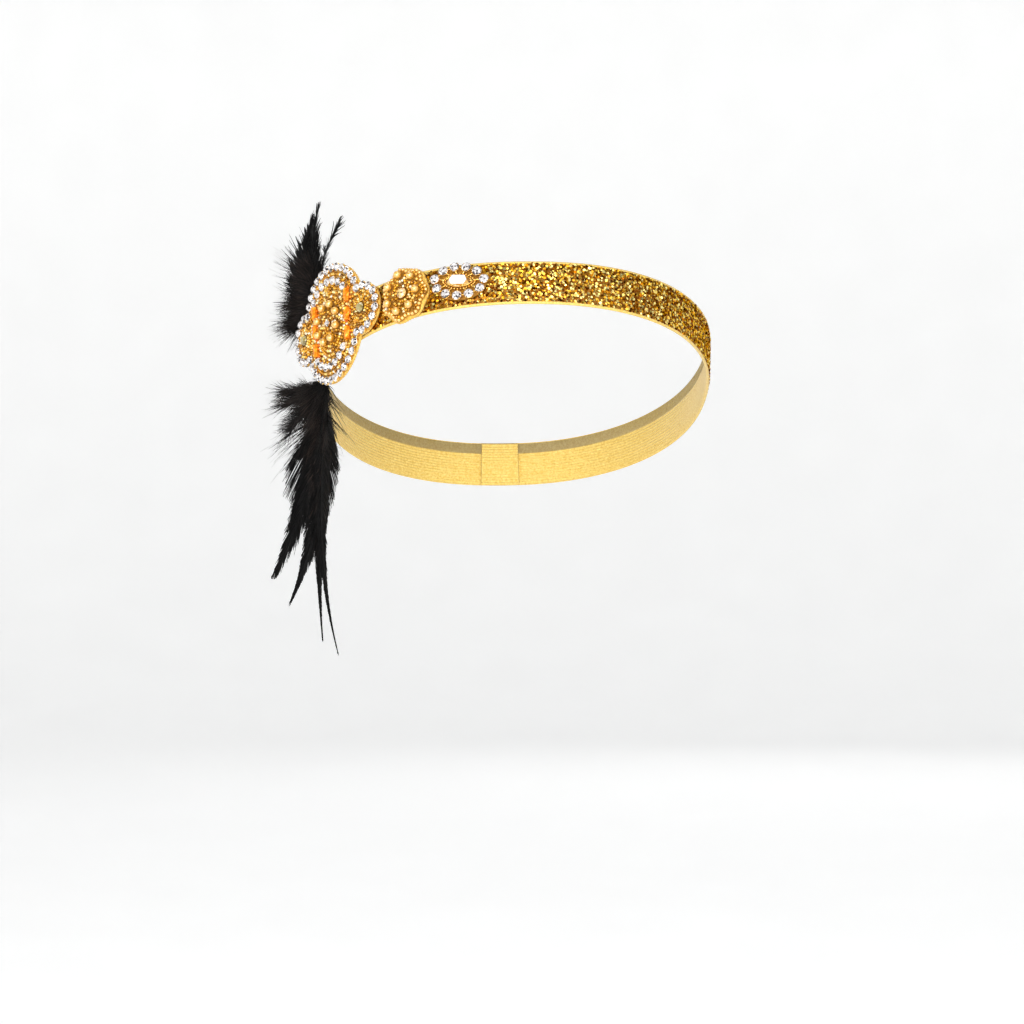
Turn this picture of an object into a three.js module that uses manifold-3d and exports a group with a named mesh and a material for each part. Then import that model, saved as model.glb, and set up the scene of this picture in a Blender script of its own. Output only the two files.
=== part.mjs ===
import * as THREE from 'three';
import { mergeVertices } from 'three/addons/utils/BufferGeometryUtils.js';
import Module from 'manifold-3d';

// Flapper headband: a loop of glitter elastic, three beaded motifs on the wearer's right,
// and two black feather plumes behind the large one. Millimetres, +Z up. The wearer faces -Y,
// so the wearer's right is -X, and the origin is the middle of the loop, where a head sits.
// Along the band, "along" is the arc from the middle of the forehead, negative towards the
// wearer's right; "across" runs up the band's width and "out" leaves its outer face.

const wasm = await Module();
wasm.setup();

// The loop, measured on the band's outer face
const loopHalfWidth = 86;
const loopFront = 96;
const loopBack = 104;
const loopSquareness = 2.2;
const loopTilt = 19.8;
const sideLean = -2.6;
const frontLean = 26.4;

// The elastic band
const bandWidth = 20;
const elasticThick = 1.0;
const glitterThick = 0.4;
const selvedge = 1.0;
const lapLength = 18;
const lapStep = 0.5;

// What every motif shares
const gap = 0.3;
const feltThick = 1.2;
const beadPadThick = 1.5;
const linkThick = 0.5;
const linkWidth = 0.55;
const stoneHeight = 2.1;
const pearlSize = 3.3;
const motifGap = 0.5;
const plateEnd = 0.999;
const recessFloor = 0.6;

// The large motif: top and bottom arcs of stones joined by two side lobes
const largeAlong = -99.3;
const largeAcross = 3.2;
const largeTurn = -3.7;
const largeArc = 20.9;
const largeArcShift = 3.6;
const lobeArc = 10;
const lobeReach = 32.3;
const outerStone = 3.6;
const outerPitch = 4.05;
const innerTopStep = 5.3;
const innerBottomStep = 6.3;
const innerShift = -1.8;
const innerStones = 7;
const innerSpread = 100;
const largeFeltEdge = 0.5;
const liftStart = -81.5;
const liftRadius = 160;
const frontLiftShare = 0.4;

// The bead field in the middle of the large motif
const fieldHalfLong = 11.4;
const fieldHalfTall = 14.5;
const largePearls = 8;
const largePearlRing = 8.15;
const crystalSize = 3.0;
const crystalHeight = 1.65;
const bugleLength = 5.6;
const bugleSize = 2.2;
const bugleAlong = 13.4;
const bugleRows = 3;
const rosetteSize = 12.4;
const rosetteShift = 1.2;
const smokyStone = 4.4;
const smokyHeight = 1.85;

// The flower
const flowerReach = 11.4;
const flowerHalfTall = 12.4;
const flowerAcross = 0.3;
const flowerPetals = 7;
const petalDepth = 0.15;
const feltPetalDepth = 0.05;
const flowerRingLong = 6.8;
const flowerRingTall = 8.3;
const flowerTurn = -3;
const flowerStone = 4.6;
const flowerStoneHeight = 2.3;
const flowerFeltEdge = 0.3;

// The leaf
const leafHalfLong = 11.8;
const leafHalfTall = 6.6;
const leafAcross = 0.9;
const leafTurn = -9;
const leafStone = 3.9;
const leafStones = 11;
const leafFeltEdge = 0.7;
const leafPoint = 1.2;
const leafFirst = 16;
const navetteLength = 12;
const navetteWidth = 5.8;
const navettePoint = 1.35;
const navetteWall = 1.15;
const navetteCrown = 0.95;

// The plumes, tucked behind the rear of the large motif
const upperReach = 60;
const lowerReach = 130;
const plumeBack = 12.7;
const plumeHeadLong = 12;
const plumeHeadWide = 7;
const plumeHeadThick = 2;
const plumeHeadSag = 0.3;
const lockThick = 4.5;
const leadDip = 3.2;
const upperRoot = 13;
const lowerRoot = -18;

const degree = Math.PI / 180;
const vector = (x, y, z) => new THREE.Vector3(x, y, z);

const gold = { color: 0xc9a227, roughness: 0.35, metalness: 0.8 };
const felt = { color: 0xd9a83a, roughness: 0.9, metalness: 0 };
const clear = { color: 0xe8e6ef, roughness: 0.05, metalness: 0.1 };
const pearly = { color: 0xf0b040, roughness: 0.2, metalness: 0.2 };
const orange = { color: 0xf08a1c, roughness: 0.25, metalness: 0 };
const smoky = { color: 0x8a7a3a, roughness: 0.1, metalness: 0 };
const black = { color: 0x0c0c0d, roughness: 0.7, metalness: 0 };

const object = new THREE.Group();

function add(name, geometry, look) {
  const mesh = new THREE.Mesh(geometry, new THREE.MeshStandardMaterial(look));
  mesh.name = name;
  object.add(mesh);
  return mesh;
}

// Solids from sections

function signedVolume(points, faces) {
  let sum = 0;
  for (let i = 0; i < faces.length; i += 3) {
    const [a, b, c] = [points[faces[i]], points[faces[i + 1]], points[faces[i + 2]]];
    sum += a.dot(vector().crossVectors(b, c));
  }
  return sum / 6;
}

function solidOf(points, faces) {
  if (signedVolume(points, faces) < 0) {
    faces.reverse();
  }
  const geometry = new THREE.BufferGeometry();
  const numbers = points.flatMap((p) => [p.x, p.y, p.z]);
  geometry.setAttribute('position', new THREE.Float32BufferAttribute(numbers, 3));
  geometry.setIndex(faces);
  geometry.computeVertexNormals();
  return geometry;
}

function bridge(faces, near, far, count) {
  for (let k = 0; k < count; k += 1) {
    const next = (k + 1) % count;
    faces.push(near + k, near + next, far + next, near + k, far + next, far + k);
  }
}

// Sections with equal numbers of points, joined in a ring or closed by their two end sections
function loft(sections, isRing = false) {
  const count = sections[0].length;
  const faces = [];
  for (let i = 0; i + 1 < sections.length; i += 1) {
    bridge(faces, i * count, (i + 1) * count, count);
  }
  const last = (sections.length - 1) * count;
  if (isRing) {
    bridge(faces, last, 0, count);
  } else {
    for (let k = 1; k + 1 < count; k += 1) {
      faces.push(0, k + 1, k, last, last + k, last + k + 1);
    }
  }
  return solidOf(sections.flat(), faces);
}

// Rings round a middle, from the lowest to the highest, each closed over by a middle point
function mound(low, rings, high) {
  const count = rings[0].length;
  const points = [low, ...rings.flat(), high];
  const faces = [];
  for (let i = 0; i + 1 < rings.length; i += 1) {
    bridge(faces, 1 + i * count, 1 + (i + 1) * count, count);
  }
  const last = 1 + (rings.length - 1) * count;
  for (let k = 0; k < count; k += 1) {
    const next = (k + 1) % count;
    faces.push(0, 1 + next, 1 + k, points.length - 1, last + k, last + next);
  }
  return solidOf(points, faces);
}

function toManifold(geometry) {
  const bare = geometry.clone();
  bare.deleteAttribute('normal');
  bare.deleteAttribute('uv');
  const merged = mergeVertices(bare, 1e-4);
  return new wasm.Manifold(new wasm.Mesh({
    numProp: 3,
    vertProperties: new Float32Array(merged.attributes.position.array),
    triVerts: new Uint32Array(merged.index.array),
  }));
}

// One body from pieces that run into each other, with any sealed hollow between them filled
function fused(pieces) {
  const joined = pieces.map(toManifold).reduce((sum, piece) => sum.add(piece));
  const shells = joined.decompose().filter((shell) => shell.volume() > 0);
  const whole = shells.reduce((sum, shell) => sum.add(shell)).getMesh();
  const geometry = new THREE.BufferGeometry();
  geometry.setAttribute('position', new THREE.BufferAttribute(new Float32Array(whole.vertProperties), 3));
  geometry.setIndex(new THREE.BufferAttribute(new Uint32Array(whole.triVerts), 1));
  geometry.computeVertexNormals();
  return geometry;
}

// The loop's outline, seen along Z, tilted so that the forehead is higher than the nape

function loopPoint(turn) {
  const [side, ahead] = [Math.sin(turn), Math.cos(turn)];
  const power = loopSquareness;
  const reach = (Math.abs(side) ** power + Math.abs(ahead) ** power) ** (-1 / power);
  const y = -(ahead > 0 ? loopFront : loopBack) * ahead * reach;
  return vector(loopHalfWidth * side * reach, y, -Math.tan(loopTilt * degree) * y);
}

const loopSteps = 2880;
const loopTurns = Array.from({ length: loopSteps + 1 }, (_, i) => (2 * i / loopSteps - 1) * Math.PI);
const loopPoints = loopTurns.map(loopPoint);
const loopArcs = [0];
for (let i = 0; i < loopSteps; i += 1) {
  loopArcs.push(loopArcs[i] + loopPoints[i].distanceTo(loopPoints[i + 1]));
}
const loopLength = loopArcs[loopSteps];
const foreheadArc = loopArcs[loopSteps / 2];

function between(list, value) {
  let [low, high] = [0, list.length - 1];
  while (high - low > 1) {
    const middle = (low + high) >> 1;
    [low, high] = list[middle] <= value ? [middle, high] : [low, middle];
  }
  return low + (value - list[low]) / (list[high] - list[low]);
}

function turnAt(along) {
  const arc = ((along + foreheadArc) % loopLength + loopLength) % loopLength;
  return (2 * between(loopArcs, arc) / loopSteps - 1) * Math.PI;
}

// The band's own frame: a point of its outer face, and the directions along, across and out
function bandFrame(along) {
  const turn = turnAt(along);
  const point = loopPoint(turn);
  const step = 1e-3;
  const forward = loopPoint(turn + step).sub(loopPoint(turn - step)).normalize();
  const power = loopSquareness - 1;
  const depth = Math.cos(turn) > 0 ? loopFront : loopBack;
  const slopeX = Math.sign(point.x) * Math.abs(point.x / loopHalfWidth) ** power / loopHalfWidth;
  const slopeY = Math.sign(point.y) * Math.abs(point.y / depth) ** power / depth;
  const facing = Math.atan2(slopeX, -slopeY);
  const frontShare = Math.cos(turn) > 0 ? Math.cos(turn) ** 2 : 0;
  const lean = (sideLean + (frontLean - sideLean) * frontShare) * degree;
  const out = vector(
    Math.sin(facing) * Math.cos(lean),
    -Math.cos(facing) * Math.cos(lean),
    Math.sin(lean),
  );
  out.addScaledVector(forward, -out.dot(forward)).normalize();
  const across = vector().crossVectors(forward, out);
  across.multiplyScalar(Math.sign(across.z)).normalize();
  return { point, forward, across, out };
}

// The stiff large motif leaves the band's curve towards the back of the head
const patchStep = 0.5;
const patchReach = 60;
const patchBase = [];
for (let along = liftStart - patchReach; along <= liftStart + patchReach; along += patchStep) {
  const away = along - liftStart;
  const frame = bandFrame(along);
  const lift = away * away / (2 * liftRadius) * (away > 0 ? frontLiftShare : 1);
  patchBase.push({ ...frame, point: frame.point.clone().addScaledVector(frame.out, lift) });
}
const patchArcs = [0];
for (let i = 0; i + 1 < patchBase.length; i += 1) {
  patchArcs.push(patchArcs[i] + patchBase[i].point.distanceTo(patchBase[i + 1].point));
}
const liftArc = patchArcs[Math.round(patchReach / patchStep)];

function patchFrame(along) {
  const place = between(patchArcs, along - liftStart + liftArc);
  const low = Math.max(0, Math.min(patchBase.length - 2, Math.floor(place)));
  const [near, far] = [patchBase[low], patchBase[low + 1]];
  const point = near.point.clone().lerp(far.point, place - low);
  const across = near.across.clone().lerp(far.across, place - low).normalize();
  const before = patchBase[Math.max(0, low - 1)];
  const after = patchBase[Math.min(patchBase.length - 1, low + 2)];
  const forward = after.point.clone().sub(before.point).normalize();
  const out = vector().crossVectors(across, forward).normalize();
  out.multiplyScalar(Math.sign(out.dot(near.out)));
  return { point, forward, across, out };
}

// A motif's own plane: long and tall from its middle, laid on a frame and turned about it
function motif(frameAt, along, across, turn) {
  const [c, s] = [Math.cos(turn * degree), Math.sin(turn * degree)];
  const spot = (long, tall, out) => {
    const frame = frameAt(along + long * c - tall * s);
    return frame.point.clone()
      .addScaledVector(frame.across, across + long * s + tall * c)
      .addScaledVector(frame.out, out);
  };
  // The matrix that stands a piece, made round +Z, on the motif at a spot
  const stand = (long, tall, out, spin = 0) => {
    const frame = frameAt(along + long * c - tall * s);
    const angle = spin + turn * degree;
    const side = frame.forward.clone().multiplyScalar(Math.cos(angle))
      .addScaledVector(frame.across, Math.sin(angle));
    const up = frame.out.clone();
    side.addScaledVector(up, -side.dot(up)).normalize();
    const third = vector().crossVectors(up, side);
    return new THREE.Matrix4().makeBasis(side, third, up).setPosition(spot(long, tall, out));
  };
  return { spot, stand };
}

const feltBase = gap;
const seatBase = feltBase + feltThick + gap;
const largeReach = lobeReach + outerStone / 2 + largeFeltEdge;
const flowerAlong = largeAlong + largeReach + motifGap + flowerReach;
const leafAlong = flowerAlong + flowerReach + motifGap + leafHalfLong + leafFeltEdge;
const large = motif(patchFrame, largeAlong, largeAcross, largeTurn);
const flower = motif(bandFrame, flowerAlong, flowerAcross, flowerTurn);
const leaf = motif(bandFrame, leafAlong, leafAcross, leafTurn);

// Elastic band

function elasticBand() {
  const segments = 72;
  const half = bandWidth / 2;
  const field = half - selvedge;
  const stations = Array.from({ length: segments }, (_, i) => (i / segments - 0.5) * loopLength);
  const lapEdges = [-1, 1].flatMap((side) => [0, lapStep].map((more) => (
    loopLength / 2 + side * (lapLength / 2 + more))));
  const wrapped = lapEdges.map((along) => (along > loopLength / 2 ? along - loopLength : along));
  const clearOfLap = stations.filter((along) => wrapped.every((edge) => Math.abs(edge - along) > lapStep));
  const all = [...clearOfLap, ...wrapped].sort((a, b) => a - b);
  const sections = all.map((along) => {
    const frame = bandFrame(along);
    const fromBack = loopLength / 2 - Math.abs(along);
    const layers = fromBack <= lapLength / 2 + lapStep / 2 ? 2 : 1;
    const inner = -glitterThick - elasticThick * layers;
    const corners = [
      [-half, inner], [-half, -glitterThick], [-field, -glitterThick], [-field, 0],
      [field, 0], [field, -glitterThick], [half, -glitterThick], [half, inner],
    ];
    return corners.map(([across, out]) => frame.point.clone()
      .addScaledVector(frame.across, across).addScaledVector(frame.out, out));
  });
  add('elastic_band', loft(sections, true), gold);
}

// Stones, chains and felt

// A round cut stone: straight girdle, slanting crown facets and a flat table
function stoneRings(radius, height, sides, [foot, table]) {
  const ring = (share, z) => Array.from({ length: sides }, (_, k) => {
    const angle = (k + 0.5) / sides * 2 * Math.PI;
    return vector(radius * share * Math.cos(angle), radius * share * Math.sin(angle), z);
  });
  return foot === 1
    ? [ring(1, 0), ring(table, height)]
    : [ring(foot, 0), ring(1, height * 0.45), ring(table, height)];
}

function standing(geometry, matrix) {
  return geometry.applyMatrix4(matrix);
}

function chainStone(size, place, [long, tall, spin]) {
  const stone = loft(stoneRings(size / 2, stoneHeight, 8, [1, 0.56]));
  return standing(stone, place.stand(long, tall, seatBase, spin));
}

// The short link between two neighbouring stones, its ends inside both
function chainLink(place, [nearLong, nearTall], [farLong, farTall]) {
  const [runLong, runTall] = [farLong - nearLong, farTall - nearTall];
  const run = Math.hypot(runLong, runTall);
  const [sideLong, sideTall] = [-runTall / run * linkWidth / 2, runLong / run * linkWidth / 2];
  return loft([0.28, 0.72].map((share) => [[-1, 0.15], [1, 0.15], [1, 1], [-1, 1]].map(([side, level]) => (
    place.spot(
      nearLong + share * runLong + side * sideLong,
      nearTall + share * runTall + side * sideTall,
      seatBase + level * linkThick,
    )))));
}

// A chain: stones at the given places and the links between them, open or closed on itself
function stoneChain(place, size, spots, isRing) {
  const next = isRing ? [...spots.slice(1), spots[0]] : spots.slice(1);
  return fused([
    ...spots.map((spot) => chainStone(size, place, spot)),
    ...next.map((spot, i) => chainLink(place, spots[i], spot)),
  ]);
}

// Places along a chain of arcs, each arc [middle long, middle tall, radius, from, to] in degrees,
// with a stone where two arcs meet
function spotsOnArcs(arcs, pitch) {
  return arcs.flatMap(([long, tall, radius, from, to]) => {
    const count = Math.round(radius * Math.abs(to - from) * degree / pitch);
    return Array.from({ length: count }, (_, i) => {
      const angle = (from + (to - from) * i / count) * degree;
      return [long + radius * Math.cos(angle), tall + radius * Math.sin(angle), angle + Math.PI / 2];
    });
  });
}

// A felt plate between a lower and an upper edge, following its motif's curve; its two ends stop
// just short of the reach, where the edges would meet in a point
function feltPlate(place, reach, edges, stations = 32) {
  const sections = Array.from({ length: stations + 1 }, (_, i) => {
    const long = -reach * Math.cos(i / stations * Math.PI) * plateEnd;
    const [low, high] = edges(long);
    return [[low, 0], [low, 1], [high, 1], [high, 0]].map(([tall, level]) => (
      place.spot(long, tall, feltBase + level * feltThick)));
  });
  return loft(sections);
}

function bead(name, size, matrix, look) {
  add(name, standing(new THREE.SphereGeometry(size / 2, 10, 5).rotateX(Math.PI / 2), matrix), look);
}

// Large motif

const lobeMiddle = lobeReach - lobeArc;

// Where a side lobe's arc meets the top arc, as the direction from each arc's middle
const notch = (() => {
  const apart = Math.hypot(lobeMiddle, largeArcShift);
  const run = (largeArc ** 2 - lobeArc ** 2 + apart ** 2) / (2 * apart);
  const rise = Math.sqrt(largeArc ** 2 - run ** 2);
  const [ux, uy] = [lobeMiddle / apart, -largeArcShift / apart];
  const [x, y] = [run * ux - rise * uy, largeArcShift + run * uy + rise * ux];
  return {
    onArc: Math.atan2(y - largeArcShift, x) / degree,
    onLobe: Math.atan2(y, x - lobeMiddle) / degree,
  };
})();

function largeEdges(margin) {
  return (long) => {
    const heights = [[0, largeArcShift, largeArc], [lobeMiddle, 0, lobeArc], [-lobeMiddle, 0, lobeArc]]
      .map(([x, y, radius]) => {
        const room = (radius + margin) ** 2 - (long - x) ** 2;
        return room > 0 ? y + Math.sqrt(room) : 0;
      });
    const top = Math.max(...heights);
    return [-top, top];
  };
}

// The places of an inner row of stones, above the middle for side 1 and below it for side -1
function innerRow(side, step) {
  const innerArc = largeArc - step;
  return Array.from({ length: innerStones }, (_, i) => {
    const angle = side * (90 + innerSpread * (i / (innerStones - 1) - 0.5)) * degree;
    const tall = side * largeArcShift + innerArc * Math.sin(angle);
    return [innerShift + innerArc * Math.cos(angle), tall, angle + Math.PI / 2];
  });
}

function largeMotif() {
  const edge = outerStone / 2 + largeFeltEdge;
  add('large_felt', feltPlate(large, lobeReach + edge, largeEdges(edge), 40), felt);

  const rightLobe = [lobeMiddle, 0, lobeArc, -notch.onLobe, notch.onLobe];
  const top = [0, largeArcShift, largeArc, notch.onArc, 180 - notch.onArc];
  const leftLobe = [-lobeMiddle, 0, lobeArc, 180 - notch.onLobe, 180 + notch.onLobe];
  const bottom = [0, -largeArcShift, largeArc, 180 + notch.onArc, 360 - notch.onArc];
  const outer = spotsOnArcs([rightLobe, top, leftLobe, bottom], outerPitch);
  add('large_outer_stones', stoneChain(large, outerStone, outer, true), clear);

  for (const [name, side, step] of [['top', 1, innerTopStep], ['bottom', -1, innerBottomStep]]) {
    add(`large_inner_stones_${name}`, stoneChain(large, outerStone, innerRow(side, step), false), clear);
  }
}

// A low oval mound, from a table of rings with the share of its size and the height of each
function ovalMound(place, [middleLong, middleTall], [halfLong, halfTall], sides, rings, petals = () => 1) {
  const spot = (share, out, k) => {
    const angle = k / sides * 2 * Math.PI;
    const reach = share * petals(angle);
    return place.spot(
      middleLong + halfLong * reach * Math.cos(angle),
      middleTall + halfTall * reach * Math.sin(angle),
      seatBase + out * beadPadThick,
    );
  };
  const ringOf = ([share, out]) => Array.from({ length: sides }, (_, k) => spot(share, out, k));
  const last = rings[rings.length - 1];
  const low = place.spot(middleLong, middleTall, seatBase);
  const high = place.spot(middleLong, middleTall, seatBase + (last[2] ?? last[1]) * beadPadThick);
  return mound(low, rings.map(ringOf), high);
}

function largeField() {
  // share of the size, height as a share of the pad, and the middle's height
  const rings = [[1, 0], [1, 0.4], [0.86, 0.85], [0.5, 1.0, 1.05]];
  add('large_bead_field', ovalMound(large, [0, 0], [fieldHalfLong, fieldHalfTall], 24, rings), gold);
  const top = seatBase + beadPadThick * 1.05 + gap;
  for (let i = 0; i < largePearls; i += 1) {
    const angle = (i + 0.5) / largePearls * 2 * Math.PI;
    const [long, tall] = [largePearlRing * Math.cos(angle), largePearlRing * Math.sin(angle)];
    bead(`large_pearl_${i + 1}`, pearlSize, large.stand(long, tall, top + pearlSize / 2), pearly);
  }
  const crystal = loft(stoneRings(crystalSize / 2, crystalHeight, 8, [0.7, 0.55]));
  add('large_crystal', standing(crystal, large.stand(0, 0, top)), clear);
}

// Bugle beads end to end, spread between the last stones of the two inner rows
function bugles() {
  const radius = bugleSize / 2;
  const fromRow = (outerStone + bugleLength) / 2 + gap;
  const highest = innerRow(1, innerTopStep)[0][1] - fromRow;
  const lowest = innerRow(-1, innerBottomStep)[0][1] + fromRow;
  for (const [name, side] of [['rear', -1], ['front', 1]]) {
    for (let i = 0; i < bugleRows; i += 1) {
      const tall = THREE.MathUtils.lerp(lowest, highest, i / (bugleRows - 1));
      const shape = new THREE.CylinderGeometry(radius, radius, bugleLength, 10);
      const place = large.stand(side * bugleAlong, tall, seatBase + radius);
      add(`orange_bead_${name}_${i + 1}`, standing(shape, place), orange);
    }
  }
}

function rosettes() {
  for (const [name, side] of [['front', 1], ['rear', -1]]) {
    const middle = side * (lobeMiddle + rosetteShift);
    const recess = (smokyStone / 2 + gap) / (rosetteSize / 2);
    const rings = [[1, 0], [1, 0.35], [0.8, 1], [recess + 0.06, 1], [recess, recessFloor]];
    const half = rosetteSize / 2;
    add(`rosette_${name}`, ovalMound(large, [middle, 0], [half, half], 16, rings), gold);
    const stone = loft(stoneRings(smokyStone / 2, smokyHeight, 8, [0.75, 0.6]));
    const base = seatBase + recessFloor * beadPadThick + gap;
    add(`smoky_stone_${name}`, standing(stone, large.stand(middle, 0, base)), smoky);
  }
}

// Flower

// The outline's share at an angle, for petals of a given depth
const petalShape = (depth) => (angle) => 1 - depth * (1 - Math.cos(flowerPetals * angle)) / 2;

function flowerMotif() {
  const half = flowerReach - flowerFeltEdge;
  const halfTall = flowerHalfTall - flowerFeltEdge;
  const sides = 4 * flowerPetals;
  const feltOutline = petalShape(feltPetalDepth);
  const rim = (share, level) => Array.from({ length: sides }, (_, k) => {
    const angle = k / sides * 2 * Math.PI;
    const reach = share * feltOutline(angle);
    const [long, tall] = [flowerReach * reach * Math.cos(angle), flowerHalfTall * reach * Math.sin(angle)];
    return flower.spot(long, tall, feltBase + level * feltThick);
  });
  const rings = [rim(0.5, 0), rim(1, 0), rim(1, 1), rim(0.5, 1)];
  const felted = mound(flower.spot(0, 0, feltBase), rings, flower.spot(0, 0, feltBase + feltThick));
  add('flower_felt', felted, felt);

  const recess = (flowerStone / 2 + gap) / half;
  const pad = [[0.5, 0], [1, 0], [1, 0.4], [0.8, 1], [recess + 0.05, 1], [recess, recessFloor]];
  add('flower_petals', ovalMound(flower, [0, 0], [half, halfTall], sides, pad, petalShape(petalDepth)), gold);
  for (let i = 0; i < flowerPetals; i += 1) {
    const angle = i / flowerPetals * 2 * Math.PI;
    const [long, tall] = [flowerRingLong * Math.cos(angle), flowerRingTall * Math.sin(angle)];
    const out = seatBase + beadPadThick + gap + pearlSize / 2;
    bead(`flower_pearl_${i + 1}`, pearlSize, flower.stand(long, tall, out), pearly);
  }
  const stone = loft(stoneRings(flowerStone / 2, flowerStoneHeight, 8, [0.8, 0.56]));
  const base = seatBase + recessFloor * beadPadThick + gap;
  add('flower_stone', standing(stone, flower.stand(0, 0, base)), clear);
}

// Leaf

function ellipseSpots(halfLong, halfTall, count, start) {
  const fine = 720;
  const arcs = [0];
  const at = (k) => {
    const angle = start * degree + k / fine * 2 * Math.PI;
    const rise = Math.sign(Math.sin(angle)) * Math.abs(Math.sin(angle)) ** leafPoint;
    return [halfLong * Math.cos(angle), halfTall * rise, angle];
  };
  for (let k = 0; k < fine; k += 1) {
    const [a, b] = [at(k), at(k + 1)];
    arcs.push(arcs[k] + Math.hypot(b[0] - a[0], b[1] - a[1]));
  }
  return Array.from({ length: count }, (_, i) => {
    const [long, tall, angle] = at(between(arcs, arcs[fine] * i / count));
    return [long, tall, Math.atan2(halfTall * Math.cos(angle), -halfLong * Math.sin(angle))];
  });
}

// A pointed oval of the given half sizes, as points round its outline
function pointedOval(halfLong, halfTall, count) {
  return Array.from({ length: count }, (_, k) => {
    const angle = k / count * 2 * Math.PI;
    const point = Math.sign(Math.sin(angle)) * Math.abs(Math.sin(angle)) ** navettePoint;
    return [halfLong * Math.cos(angle), halfTall * point];
  });
}

function leafMotif() {
  const edge = leafFeltEdge;
  const felted = feltPlate(leaf, leafHalfLong + edge, (long) => {
    const tall = (leafHalfTall + leafStone / 2 + edge) * Math.sqrt(1 - (long / (leafHalfLong + edge)) ** 2);
    return [-tall, tall];
  }, 16);
  add('leaf_felt', felted, felt);
  const inset = leafStone / 2 - edge;
  const spots = ellipseSpots(leafHalfLong - inset, leafHalfTall, leafStones, leafFirst);
  add('leaf_stones', stoneChain(leaf, leafStone, spots, true), clear);

  const outline = pointedOval(navetteLength / 2, navetteWidth / 2, 16);
  const ring = (share, out) => outline.map(([long, tall]) => leaf.spot(long * share, tall * share, out));
  const wall = seatBase + navetteWall;
  const floor = seatBase + linkThick;
  const setting = mound(
    leaf.spot(0, 0, seatBase),
    [ring(1, seatBase), ring(1, wall), ring(0.84, wall), ring(0.8, floor)],
    leaf.spot(0, 0, floor),
  );
  add('navette_setting', setting, gold);
  const crown = wall + gap + navetteCrown;
  const stone = [ring(0.66, floor + gap), ring(0.72, wall + gap), ring(0.5, crown)];
  add('navette_stone', loft(stone), clear);
}

// Plumes

// One lock of feather from its root to its tip: a lens-shaped strip that lies flat under the
// felt and has rolled about its own line by the time it comes clear
function lock(route, width, roll) {
  const curve = new THREE.CubicBezierCurve3(...route);
  // place along the lock, share of the width, share of the thickness
  const profile = [
    [0, 0.25, 0.3], [0.16, 0.4, 0.3], [0.38, 1, 1], [0.6, 0.86, 0.9], [0.8, 0.5, 0.55], [1, 0.06, 0.12],
  ];
  const sections = profile.map(([place, share, thickShare]) => {
    const point = curve.getPoint(place);
    const forward = curve.getTangent(place);
    const out = vector(-1, 0.15, 0);
    out.addScaledVector(forward, -out.dot(forward)).normalize();
    out.applyAxisAngle(forward, roll * degree * THREE.MathUtils.smoothstep(place, 0.16, 0.45));
    const side = vector().crossVectors(forward, out).normalize();
    const half = width * share / 2;
    const deep = lockThick * thickShare / 2;
    return [[-1, 0], [-0.5, 1], [0.5, 1], [1, 0], [0.5, -1], [-0.5, -1]].map(([across, up]) => (
      point.clone().addScaledVector(side, across * half).addScaledVector(out, up * deep)));
  });
  return loft(sections);
}

// A plume: locks fused to a flat head behind the felt. A lock's row holds its tip out, back and up
// from the head, its lead under the felt backwards and across, its width, its bulge outwards and
// its roll in degrees. The lead is in shares of the head's length, the rest in shares of the reach
function plume(name, rootAcross, reach, locks) {
  const rootLong = -plumeBack;
  const under = feltBase - gap - plumeHeadSag - plumeHeadThick / 2;
  const root = large.spot(rootLong, rootAcross, under);
  const head = standing(
    new THREE.BoxGeometry(plumeHeadLong, plumeHeadWide, plumeHeadThick),
    large.stand(rootLong, rootAcross, under),
  );
  const strips = locks.map(([out, back, up, leadLong, leadAcross, width, bulge, roll]) => {
    const tip = root.clone().add(vector(-out, back, up).multiplyScalar(reach));
    const leadAt = [rootLong - leadLong * plumeHeadLong, rootAcross + leadAcross * plumeHeadLong];
    const lead = large.spot(...leadAt, under - leadDip);
    const middle = lead.clone().lerp(tip, 0.5).add(vector(-bulge * reach, 0, 0));
    return lock([root, lead, middle, tip], width * reach, roll);
  });
  add(name, fused([head, ...strips]), black);
}

function plumes() {
  plume('upper_plume', upperRoot, upperReach, [
    [0.08, 0.55, 0.5, 1.08, 0.92, 0.367, 0.08, 55],
    [-0.03, 0.8, 0.8, 1.08, 1, 0.217, 0.1, 40],
    [0.03, 0.76, 0.7, 1.17, 1, 0.2, 0.1, 70],
    [0.09, 0.69, 0.58, 1.25, 0.92, 0.2, 0.08, 30],
    [0.16, 0.59, 0.45, 1.42, 0.83, 0.183, 0.06, 60],
    [0.24, 0.5, 0.32, 1.58, 0.67, 0.167, 0.03, 40],
    [0.25, 0.43, 0.22, 1.67, 0.5, 0.15, 0.01, 60],
    [-0.15, 0.92, 0.72, 1, 1.08, 0.2, 0.06, 20],
    [0.26, 0.4, -0.06, 2, 0.08, 0.117, 0, 40],
    [0.23, 0.36, -0.14, 2, -0.08, 0.117, 0, 20],
  ]);
  plume('lower_plume', lowerRoot, lowerReach, [
    [0.09, 0.34, -0.5, 0.92, -0.75, 0.208, 0.03, 60],
    [0.18, 0.4, -0.66, 1, -0.75, 0.108, -0.02, 60],
    [0.125, 0.35, -0.76, 0.92, -0.83, 0.115, 0, 75],
    [0.02, 0.3, -0.9, 0.83, -0.92, 0.1, 0.06, 60],
    [-0.03, 0.27, -0.95, 0.75, -0.92, 0.092, 0.11, 50],
    [0.18, 0.31, -0.04, 1.5, -0.33, 0.077, 0.01, 30],
    [0.165, 0.35, -0.1, 1.42, -0.42, 0.085, 0.02, 40],
    [0.145, 0.38, -0.22, 1.25, -0.58, 0.1, 0.03, 50],
    [-0.03, 0.38, -0.32, 0.92, -0.83, 0.108, 0.04, 40],
  ]);
}

elasticBand();
largeMotif();
largeField();
bugles();
rosettes();
flowerMotif();
leafMotif();
plumes();

export default object;
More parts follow.
